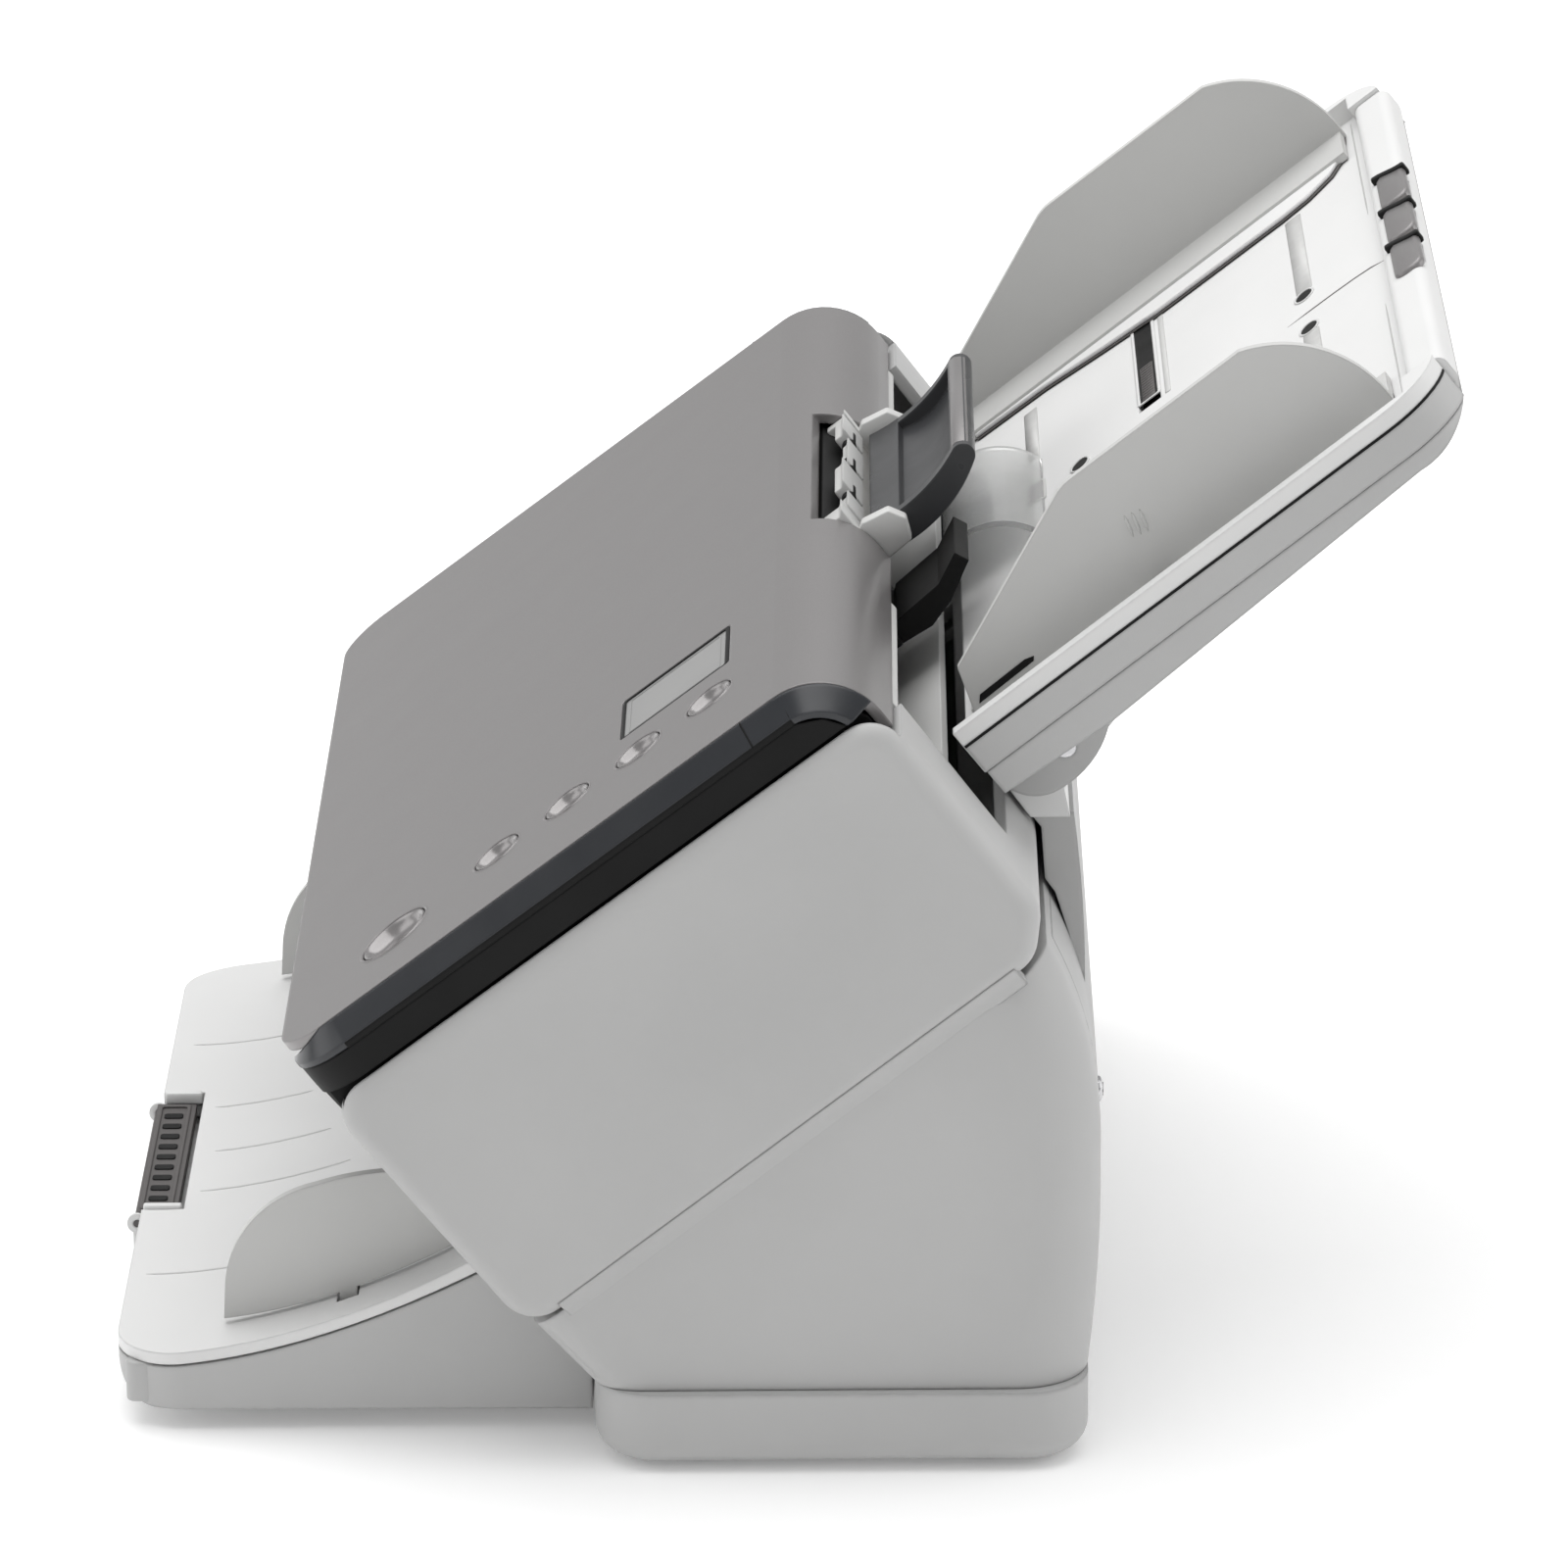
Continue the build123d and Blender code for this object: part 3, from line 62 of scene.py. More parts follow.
# The input tray's own axes: t runs up its floor, m stands out of it.
TRAY_ANGLE = radians(38)
TRAY_ORIGIN = Vector((0, 0.045, 0.1627))
TRAY_UP = Vector((0, cos(TRAY_ANGLE), sin(TRAY_ANGLE)))
TRAY_OUT = Vector((0, -sin(TRAY_ANGLE), cos(TRAY_ANGLE)))
ACROSS = Vector((1, 0, 0))
CENTRE = Vector((0, 0, 0))

# Places on the front cover, in millimetres of its own axes.
KEY_X, FIRST_KEY_U, KEY_PITCH, KEY_COUNT = 112, 47.5, 20, 4
POWER_X, POWER_U = 117, 18.5

# Places on the input tray, in millimetres of its own axes.
SLOT_LOW, SLOT_HIGH = 54.5, 59.6
SLOT_NEAR, SLOT_FAR = 23.2, 99.0
SEGMENT_PITCH = 28.5
GUIDE_FACE_X = 111.9


def on_face(x, u, n):
    """Point at x across, u up the cover and n out of it, all in millimetres."""
    return FACE_ORIGIN + Vector((x, 0, 0)) * MM + FACE_UP * (u * MM) + FACE_OUT * (n * MM)


def on_tray(x, t, m):
    """Point at x across, t up the input tray and m out of its floor, in millimetres."""
    return TRAY_ORIGIN + Vector((x, 0, 0)) * MM + TRAY_UP * (t * MM) + TRAY_OUT * (m * MM)


def from_tray(x, t, m):
    """Step from the tray's origin, for a pattern that is set down elsewhere."""
    return on_tray(x, t, m) - TRAY_ORIGIN


def cut_of_face(x, n, u):
    """Place for outlines across the cover, with the way up the cover as the level."""
    return on_face(x, u, n)


def on_desk(x, y, z):
    """Point in the machine's own axes, in millimetres."""
    return Vector((x, y, z)) * MM


# ---- sizes and colours that a user may change ------------------------------------------
def colour_property(name, description, default):
    return FloatVectorProperty(name=name, description=description, subtype="COLOR", size=3,
                               min=0, max=1, default=default)


class ScannerColours(bpy.types.PropertyGroup):
    """Base colours of the moulded parts."""
    casing: colour_property("Casing", "Light grey of the shells", (0.46, 0.46, 0.457))
    skin: colour_property("Cover skin", "Satin grey of the front cover", (0.26, 0.25, 0.25))
    slate: colour_property("Bezel", "Dark slate of the sloped strips", (0.012, 0.014, 0.018))
    tray: colour_property("Tray", "Near white of the paper surfaces", (0.72, 0.72, 0.715))
    guide: colour_property("Guide", "Grey of the paper guides", (0.54, 0.54, 0.53))


class ScannerSizes(bpy.types.PropertyGroup):
    """Counts and sizes of the small repeated features."""
    stop_ridges: IntProperty(name="Stop ridges", description="Ridges on the output stop",
                             min=1, default=9)
    slot_teeth: IntProperty(name="Slot teeth", description="Rack teeth that show in the guide slot",
                            min=1, default=12)
    finger_ridges: IntProperty(name="Finger ridges", description="Ridges on each side guide",
                               min=1, default=3)
    line_width: FloatProperty(name="Line width", description="Width of the output tray's lines",
                              unit="LENGTH", default=0.0011)
    line_height: FloatProperty(name="Line height", description="Height of the output tray's lines",
                               unit="LENGTH", default=0.00034)


class ScannerStage(bpy.types.PropertyGroup):
    """Camera and light of the studio."""
    elevation: FloatProperty(name="Elevation", description="Height angle of the camera",
                             subtype="ANGLE", default=radians(19.5))
    heading: FloatProperty(name="Heading", description="Angle of the camera round the machine",
                           subtype="ANGLE", default=radians(90.6214))
    roll: FloatProperty(name="Roll", description="Turn of the camera about its own axis",
                        subtype="ANGLE", default=radians(-0.6234))
    distance: FloatProperty(name="Distance", description="From the camera to its target",
                            unit="LENGTH", default=2.14432)
    lens: FloatProperty(name="Lens", description="Focal length in millimetres", default=208.514)
    brightness: FloatProperty(name="Brightness", description="Strength of all the lamps",
                              min=0, default=1.0)


# ---- materials -------------------------------------------------------------------------
class Shader:
    """A procedural material under construction on one principled shader."""

    def __init__(self, name, colour, roughness=0.5, metallic=0.0, specular=0.5):
        self.material = bpy.data.materials.new(name)
        self.material.use_nodes = True
        self.tree = self.material.node_tree
        self.tree.nodes.clear()
        self.output = self.tree.nodes.new("ShaderNodeOutputMaterial")
        self.shader = self.tree.nodes.new("ShaderNodeBsdfPrincipled")
        self.shader.inputs["Base Color"].default_value = (*colour, 1)
        self.shader.inputs["Roughness"].default_value = roughness
        self.shader.inputs["Metallic"].default_value = metallic
        self.shader.inputs["Specular IOR Level"].default_value = specular
        self.link(self.shader.outputs["BSDF"], self.output.inputs["Surface"])
        self.place = self.tree.nodes.new("ShaderNodeTexCoord").outputs["Object"]
        self.normal = None

    def link(self, source, target):
        self.tree.links.new(source, target)

    def noise(self, scale, detail=2.0, stretch=None):
        """Fine random pattern on the piece's own coordinates, scale in cells per metre."""
        node = self.tree.nodes.new("ShaderNodeTexNoise")
        node.inputs["Scale"].default_value = scale
        node.inputs["Detail"].default_value = detail
        vector = self.place
        if stretch:
            mapping = self.tree.nodes.new("ShaderNodeMapping")
            mapping.inputs["Scale"].default_value = stretch
            self.link(vector, mapping.inputs["Vector"])
            vector = mapping.outputs["Vector"]
        self.link(vector, node.inputs["Vector"])
        return node.outputs["Fac"]

    def between(self, factor, low, high, low_value, high_value):
        """Factor from low to high, mapped onto low_value to high_value."""
        node = self.tree.nodes.new("ShaderNodeMapRange")
        node.inputs["From Min"].default_value = low
        node.inputs["From Max"].default_value = high
        node.inputs["To Min"].default_value = low_value
        node.inputs["To Max"].default_value = high_value
        self.link(factor, node.inputs["Value"])
        return node.outputs["Result"]

    def tint(self, factor, first, second):
        """Base colour between two colours, by factor."""
        node = self.tree.nodes.new("ShaderNodeMix")
        node.data_type = "RGBA"
        node.inputs["A"].default_value = (*first, 1)
        node.inputs["B"].default_value = (*second, 1)
        self.link(factor, node.inputs["Factor"])
        self.link(node.outputs["Result"], self.shader.inputs["Base Color"])
        return node.outputs["Result"]

    def lay_colour_over(self, factor, colour):
        """Mixes a second colour over the base colour by factor; it lays on the painted edge highlight.
        """
        target = self.shader.inputs["Base Color"]
        node = self.tree.nodes.new("ShaderNodeMix")
        node.data_type = "RGBA"
        if target.links:
            self.link(target.links[0].from_socket, node.inputs["A"])
        else:
            node.inputs["A"].default_value = target.default_value
        node.inputs["B"].default_value = (*colour, 1)
        self.link(factor, node.inputs["Factor"])
        self.link(node.outputs["Result"], target)

    def roughness(self, factor, low, high):
        self.link(self.between(factor, 0.3, 0.7, low, high), self.shader.inputs["Roughness"])

    def round_edges(self, radius, samples=4):
        """Softens hard edges of the solid in the shading; returns the rounded normal."""
        node = self.tree.nodes.new("ShaderNodeBevel")
        node.samples = samples
        node.inputs["Radius"].default_value = radius
        self.normal = node.outputs["Normal"]
        self.link(self.normal, self.shader.inputs["Normal"])
        return self.normal

    def paint_edge_highlight(self, colour, amount, breakup=220):
        """Painted highlight: lightens the hard edges, where the rounded shading normal leaves the flat
        one, broken up by noise.
        """
        flat = self.tree.nodes.new("ShaderNodeNewGeometry")
        dot = self.tree.nodes.new("ShaderNodeVectorMath")
        dot.operation = "DOT_PRODUCT"
        self.link(flat.outputs["Normal"], dot.inputs[0])
        self.link(self.normal, dot.inputs[1])
        edge = self.between(dot.outputs["Value"], 0.995, 0.90, 0.0, amount)
        product = self.tree.nodes.new("ShaderNodeMath")
        product.operation = "MULTIPLY"
        self.link(edge, product.inputs[0])
        self.link(self.between(self.noise(breakup), 0.4, 0.62, 0.15, 1.0), product.inputs[1])
        self.lay_colour_over(product.outputs["Value"], colour)

    def bump(self, factor, height, strength=1.0):
        """Relief of the given height in metres, added to what is there."""
        node = self.tree.nodes.new("ShaderNodeBump")
        node.inputs["Strength"].default_value = strength
        node.inputs["Distance"].default_value = height
        self.link(factor, node.inputs["Height"])
        if self.normal:
            self.link(self.normal, node.inputs["Normal"])
        self.normal = node.outputs["Normal"]
        self.link(self.normal, self.shader.inputs["Normal"])


def scaled(colour, factor):
    return tuple(min(1.0, part * factor) for part in colour)


def moulded(name, colour, roughness, edge=0.0006, grain=2600, relief=0.00002, spread=0.03,
            specular=0.45, edge_highlight=0.25):
    """Matt moulded plastic: spark-eroded grain, slight uneven tone, softened edges with a painted
    highlight on them.
    """
    made = Shader(name, colour, roughness, specular=specular)
    tone = made.noise(14, 4)
    made.tint(made.between(tone, 0.35, 0.65, 0, 1), scaled(colour, 1 - spread),
              scaled(colour, 1 + spread))
    made.round_edges(edge)
    # painted highlight along the hard edges, 1.35 times the base colour
    made.paint_edge_highlight(scaled(colour, 1.35), edge_highlight)
    made.roughness(made.noise(60, 3), roughness - 0.05, roughness + 0.05)
    made.bump(made.noise(grain, 3), relief)
    return made


def make_materials(colours):
    """Every finish of the machine, by the name of its slot."""
    made = {}
    made["casing"] = moulded("casing plastic", tuple(colours.casing), 0.52, edge=0.0012)
    made["plinth"] = moulded("plinth plastic", tuple(colours.casing), 0.54, edge=0.0020)
    made["tray"] = moulded("tray plastic", tuple(colours.tray), 0.46, edge=0.0008, spread=0.015)
    made["guide"] = moulded("guide plastic", tuple(colours.guide), 0.55, edge=0.0006)
    made["black"] = moulded("black plastic", (0.004, 0.004, 0.004), 0.5, specular=0.2, edge_highlight=0.08)
    made["gear"] = moulded("natural plastic", (0.70, 0.69, 0.66), 0.42, grain=900)
    made["slate"] = slate_paint(tuple(colours.slate))
    made["skin"] = cover_paint(tuple(colours.skin))
    made["button"] = cover_paint(tuple(colours.skin), "button paint", 0.20)
    made["grip"] = moulded("grip plastic", (0.095, 0.088, 0.086), 0.5, edge=0.0004, edge_highlight=0.15)
    made["liner"] = moulded("liner plastic", (0.60, 0.60, 0.59), 0.45, edge=0.0005, spread=0.02)
    made["lever"] = moulded("lever paint", (0.040, 0.041, 0.044), 0.30, edge=0.0008, relief=0.00001)
    made["metal"] = turned_steel()
    made["frame_metal"] = coated_sheet()
    made["rubber"] = ground_rubber()
    made["glass"] = clear_sheet("scan glass", (0.62, 0.70, 0.70), 0.03, 0.85)
    made["flap"] = clear_sheet("flap film", (0.95, 0.955, 0.95), 0.14, 0.88)
    made["board"] = circuit_board()
    made["screen"] = screen_window()
    return {slot: shader.material for slot, shader in made.items()}


def cover_paint(colour, name="cover paint", roughness=0.34):
    """Satin metallic paint: a fine flake under a thin coat, on a very flat surface."""
    made = Shader(name, colour, roughness, metallic=0.55, specular=0.5)
    flake = made.noise(5200, 1)
    made.tint(made.between(flake, 0.3, 0.7, 0, 1), scaled(colour, 0.93), scaled(colour, 1.08))
    made.round_edges(0.0008)
    # painted highlight along the hard edges of the paint, 1.6 times its colour
    made.paint_edge_highlight(scaled(colour, 1.6), 0.3)
    made.roughness(made.noise(45, 4), roughness - 0.01, roughness + 0.015)
    made.bump(made.noise(900, 2), 0.000006)
    made.shader.inputs["Coat Weight"].default_value = 0.12
    made.shader.inputs["Coat Roughness"].default_value = 0.25
    return made


def slate_paint(colour):
    """Dark gloss trim with a soft orange-peel surface."""
    made = Shader("slate trim", colour, 0.22, specular=0.6)
    made.tint(made.between(made.noise(30, 3), 0.3, 0.7, 0, 1), scaled(colour, 0.9), scaled(colour, 1.1))
    made.round_edges(0.0007)
    # painted highlight along the edges, three times as light as the trim
    made.paint_edge_highlight(scaled(colour, 3.0), 0.35)
    made.roughness(made.noise(70, 3), 0.19, 0.27)
    made.bump(made.noise(520, 2), 0.000006)
    return made


def turned_steel():
    made = Shader("turned steel", (0.58, 0.58, 0.59), 0.28, metallic=1.0)
    lines = made.noise(1500, 2, stretch=(1.0, 0.03, 0.03))
    made.tint(made.between(lines, 0.3, 0.7, 0, 1), (0.50, 0.50, 0.51), (0.66, 0.66, 0.67))
    made.round_edges(0.0003)
    made.roughness(made.noise(900, 2), 0.22, 0.34)
    made.bump(lines, 0.000008)
    return made


def coated_sheet():
    made = Shader("coated sheet", (0.16, 0.165, 0.17), 0.45, metallic=0.6)
    spangle = made.noise(240, 3)
    made.tint(made.between(spangle, 0.4, 0.6, 0, 1), (0.13, 0.135, 0.14), (0.20, 0.205, 0.21))
    made.round_edges(0.0004)
    made.roughness(made.noise(120, 2), 0.38, 0.5)
    made.bump(made.noise(1600, 2), 0.00001)
    return made


def ground_rubber():
    made = Shader("ground rubber", (0.02, 0.02, 0.021), 0.82, specular=0.25)
    dust = made.noise(900, 4)
    made.tint(made.between(dust, 0.45, 0.75, 0, 1), (0.016, 0.016, 0.017), (0.05, 0.05, 0.05))
    made.round_edges(0.0004)
    made.roughness(made.noise(2200, 2), 0.75, 0.9)
    made.bump(made.noise(2400, 3), 0.00003)
    return made


def clear_sheet(name, colour, roughness, clear):
    """Clear sheet that lets light through and keeps a faint haze."""
    made = Shader(name, colour, roughness, specular=0.5)
    made.shader.inputs["Transmission Weight"].default_value = clear
    made.shader.inputs["IOR"].default_value = 1.3
    made.roughness(made.noise(80, 3), roughness, roughness + 0.06)
    made.bump(made.noise(300, 2), 0.00001)
    return made


def circuit_board():
    made = Shader("board lacquer", (0.015, 0.10, 0.045), 0.3)
    tracks = made.noise(420, 0, stretch=(1.0, 0.15, 0.15))
    made.tint(made.between(tracks, 0.48, 0.52, 0, 1), (0.012, 0.085, 0.038), (0.025, 0.14, 0.06))
    made.round_edges(0.0002)
    made.bump(tracks, 0.00002)
    return made


def screen_window():
    """Unlit liquid crystal window behind a hard clear front."""
    made = Shader("screen window", (0.25, 0.25, 0.25), 0.16, specular=0.5)
    made.tint(made.between(made.noise(25, 2), 0.3, 0.7, 0, 1), (0.25, 0.25, 0.25), (0.29, 0.29, 0.285))
    made.roughness(made.noise(60, 2), 0.12, 0.2)
    made.bump(made.noise(200, 1), 0.000004)
    return made


# ---- building helpers ------------------------------------------------------------------
def make_piece(name, body, slot, mesh):
    """A finished piece at the origin, riding on a body with its slot's finish."""
    piece = bpy.data.objects.new(name, mesh)
    bpy.context.scene.collection.objects.link(piece)
    mesh.materials.clear()
    mesh.materials.append(finishes()[slot])
    for face in mesh.polygons:
        face.use_smooth = True
        face.material_index = 0
    mesh.set_sharp_from_angle(angle=radians(35))
    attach(piece, body)
    return piece


def to_mesh(build, name, rounding=0.0, segments=2):
    """Closes a bmesh into a mesh with rounded hard edges and outward faces."""
    bmesh.ops.remove_doubles(build, verts=build.verts, dist=0.000002)
    bmesh.ops.recalc_face_normals(build, faces=build.faces)
    if rounding:
        hard = [edge for edge in build.edges
                if edge.is_manifold and edge.calc_face_angle(0) > radians(35)]
        bmesh.ops.bevel(build, geom=hard, offset=rounding * MM, offset_type="OFFSET",
                        segments=segments, profile=0.5, affect="EDGES", clamp_overlap=True)
        bmesh.ops.recalc_face_normals(build, faces=build.faces)
    mesh = bpy.data.meshes.new(name)
    build.to_mesh(mesh)
    build.free()
    return mesh


def add_slab(build, outline, lower, upper, place):
    """Solid between two levels over a flat outline; place turns (a, b, level) into a point."""
    bottom = [build.verts.new(place(a, b, lower)) for a, b in outline]
    top = [build.verts.new(place(a, b, upper)) for a, b in outline]
    build.faces.new(bottom[::-1])
    build.faces.new(top)
    for index, vertex in enumerate(bottom):
        after = (index + 1) % len(bottom)
        build.faces.new((vertex, bottom[after], top[after], top[index]))


def slab(name, outline, lower, upper, place, rounding=0.0):
    return slabs(name, [(outline, lower, upper)], place, rounding)


def slabs(name, parts, place, rounding=0.0):
    """Several slabs in one mesh; each part is (outline, lower, upper)."""
    build = bmesh.new()
    for outline, lower, upper in parts:
        add_slab(build, outline, lower, upper, place)
    return to_mesh(build, name, rounding)


def rectangle(x0, x1, y0, y1, corner=0.0, steps=5):
    """Rectangle outline with round corners, going anticlockwise."""
    if not corner:
        return [(x0, y0), (x1, y0), (x1, y1), (x0, y1)]
    points = []
    for cx, cy, start in ((x1 - corner, y0 + corner, -90), (x1 - corner, y1 - corner, 0),
                          (x0 + corner, y1 - corner, 90), (x0 + corner, y0 + corner, 180)):
        for step in range(steps + 1):
            angle = radians(start + 90 * step / steps)
            points.append((cx + corner * cos(angle), cy + corner * sin(angle)))
    return points


def oval(cx, cy, half_x, half_y, steps=24):
    return [(cx + half_x * cos(2 * pi * step / steps), cy + half_y * sin(2 * pi * step / steps))
            for step in range(steps)]


def along_x(plane):
    """Place for outlines in the plane's other two directions, with x as the level."""
    return lambda a, b, x: plane(x, a, b)


def add_frame(build, outer, inner, lower, upper, place):
    """Closed frame between two outlines that have as many points each."""
    rings = [[build.verts.new(place(a, b, level)) for a, b in outline]
             for outline, level in ((outer, lower), (outer, upper), (inner, upper), (inner, lower))]
    for ring, following in zip(rings, rings[1:] + rings[:1]):
        for index in range(len(ring)):
            after = (index + 1) % len(ring)
            build.faces.new((ring[index], ring[after], following[after], following[index]))


def frame_mesh(name, outer, inner, lower, upper, place, rounding=0.0):
    build = bmesh.new()
    add_frame(build, outer, inner, lower, upper, place)
    return to_mesh(build, name, rounding)


def add_bead(build, path, width, height, steps=6, sink=0.15):
    """Half-round bead of a width and height in millimetres along points with their normals."""
    rings = []
    for index, (point, normal) in enumerate(path):
        before = path[max(index - 1, 0)][0]
        after = path[min(index + 1, len(path) - 1)][0]
        side = (after - before).normalized().cross(normal)
        end = 0.25 if index in (0, len(path) - 1) else 1.0
        ring = []
        for step in range(steps + 1):
            angle = pi * step / steps
            out = normal * (sin(angle) * height * end) + side * (cos(angle) * width / 2 * end)
            ring.append(build.verts.new(point + out * MM))
        ring.append(build.verts.new(point - (normal * sink + side * width / 2 * end) * MM))
        ring.append(build.verts.new(point - (normal * sink - side * width / 2 * end) * MM))
        rings.append(ring)
    for ring, following in zip(rings, rings[1:]):
        for index in range(len(ring)):
            after = (index + 1) % len(ring)
            build.faces.new((ring[index], ring[after], following[after], following[index]))
    build.faces.new(rings[0][::-1])
    build.faces.new(rings[-1])


def bead(name, paths, width, height, sink=0.15):
    build = bmesh.new()
    for path in paths:
        add_bead(build, path, width, height, sink=sink)
    return to_mesh(build, name)


def turned(name, profile, centre, axis, across, steps=48):
    """Solid of revolution; profile holds (radius, height) in millimetres from axis to axis."""
    build = bmesh.new()
    other = axis.cross(across)
    rings = []
    for radius, height in profile:
        if radius < 0.001:
            rings.append([build.verts.new(centre + axis * (height * MM))])
            continue
        ring = []
        for step in range(steps):
            angle = 2 * pi * step / steps
            spoke = across * cos(angle) + other * sin(angle)
            ring.append(build.verts.new(centre + (axis * height + spoke * radius) * MM))
        rings.append(ring)
    for ring, following in zip(rings, rings[1:]):
        for index in range(steps):
            after = (index + 1) % steps
            corners = [ring[index % len(ring)], ring[after % len(ring)],
                       following[after % len(following)], following[index % len(following)]]
            build.faces.new(list(dict.fromkeys(corners)))
    return to_mesh(build, name)


def land(node, start, direction):
    """Point and outward normal where a straight line meets a node of the frame."""
    piece = frame["nodes"][node]
    back = piece.matrix_world.inverted()
    hit, point, normal, _ = piece.ray_cast(back @ start, back.to_3x3() @ direction)
    if not hit:
        raise RuntimeError(f"nothing of {node} under {tuple(start)}")
    return piece.matrix_world @ point, (piece.matrix_world.to_3x3() @ normal).normalized()


# ---- geometry nodes for what repeats ---------------------------------------------------
def node_group(name, inputs):
    group = bpy.data.node_groups.new(name, "GeometryNodeTree")
    group.interface.new_socket("Geometry", in_out="INPUT", socket_type="NodeSocketGeometry")
    for label, kind in inputs:
        group.interface.new_socket(label, in_out="INPUT", socket_type=kind)
    group.interface.new_socket("Geometry", in_out="OUTPUT", socket_type="NodeSocketGeometry")
    return group, group.nodes.new("NodeGroupInput"), group.nodes.new("NodeGroupOutput")


def finish_copies(group, entry, leave, points):
    """Ends a group: one copy of the piece at every point, made real, with its finish."""
    source = group.nodes.new("GeometryNodeObjectInfo")
    copies = group.nodes.new("GeometryNodeInstanceOnPoints")
    real = group.nodes.new("GeometryNodeRealizeInstances")
    finish = group.nodes.new("GeometryNodeSetMaterial")
    group.links.new(entry.outputs["Piece"], source.inputs["Object"])
    group.links.new(points, copies.inputs["Points"])
    group.links.new(source.outputs["Geometry"], copies.inputs["Instance"])
    group.links.new(copies.outputs["Instances"], real.inputs["Geometry"])
    group.links.new(real.outputs["Geometry"], finish.inputs["Geometry"])
    group.links.new(entry.outputs["Finish"], finish.inputs["Material"])
    group.links.new(finish.outputs["Geometry"], leave.inputs["Geometry"])


def row_group():
    """Copies of a piece in a straight row."""
    group, entry, leave = node_group("row of pieces", (
        ("Count", "NodeSocketInt"), ("Start", "NodeSocketVector"), ("Step", "NodeSocketVector"),
        ("Piece", "NodeSocketObject"), ("Finish", "NodeSocketMaterial")))
    line = group.nodes.new("GeometryNodeMeshLine")
    line.mode = "OFFSET"
    group.links.new(entry.outputs["Count"], line.inputs["Count"])
    group.links.new(entry.outputs["Start"], line.inputs["Start Location"])
    group.links.new(entry.outputs["Step"], line.inputs["Offset"])
    finish_copies(group, entry, leave, line.outputs["Mesh"])
    return group


def points_group():
    """Copies of a piece on the points of the mesh that carries the group."""
    group, entry, leave = node_group("pieces on points", (
        ("Piece", "NodeSocketObject"), ("Finish", "NodeSocketMaterial")))
    finish_copies(group, entry, leave, entry.outputs["Geometry"])
    return group


def run_group(name, group, values, points=()):
    """Evaluates a node group with its named inputs and returns the plain mesh."""
    start = bpy.data.meshes.new(name + " points")
    start.from_pydata([tuple(point) for point in points], [], [])
    carrier = bpy.data.objects.new(name + " nodes", start)
    bpy.context.scene.collection.objects.link(carrier)
    modifier = carrier.modifiers.new("repeat", "NODES")
    modifier.node_group = group
    for item in group.interface.items_tree:
        if item.in_out == "INPUT" and item.name in values:
            modifier[item.identifier] = values[item.name]
    carrier.update_tag()
    bpy.context.view_layer.update()
    seen = carrier.evaluated_get(bpy.context.evaluated_depsgraph_get())
    mesh = bpy.data.meshes.new_from_object(seen)
    mesh.name = name
    carrier.modifiers.clear()
    bpy.data.objects.remove(carrier)
    bpy.data.meshes.remove(start)
    return mesh


def repeated(name, body, slot, template, group, values, points=()):
    """One plain piece made of many copies of a template mesh."""
    pattern = bpy.data.objects.new(name + " pattern", template)
    bpy.context.scene.collection.objects.link(pattern)
    values = {**values, "Piece": pattern, "Finish": finishes()[slot]}
    mesh = run_group(name, group, values, points)
    bpy.data.objects.remove(pattern)
    bpy.data.meshes.remove(template)
    bpy.data.node_groups.remove(group)
    if not mesh.polygons:
        raise RuntimeError(f"{name} came out empty")
    return make_piece(name, body, slot, mesh)


def finishes():
    """The finishes that the casing operator made, by slot."""
    found = {m["scanner_slot"]: m for m in bpy.data.materials if "scanner_slot" in m}
    if not found:
        raise RuntimeError("run scanner.finish_frame first: it makes the materials")
    return found


class SCANNER_OT_finish_frame(bpy.types.Operator):
    """Give every node of the frame the finish of its slot"""
    bl_idname = "scanner.finish_frame"
    bl_label = "Finish the frame"

    def execute(self, context):
        materials = make_materials(context.scene.scanner_colours)
        for slot, material in materials.items():
            material["scanner_slot"] = slot
        slots = {part["node"]: part["material_slot"] for part in frame["record"]["subparts"]}
        for node, piece in frame["nodes"].items():
            finish = materials[slots[node]]
            if not piece.material_slots:
                piece.data.materials.append(finish)
            for slot in piece.material_slots:
                slot.material = finish
        return {"FINISHED"}


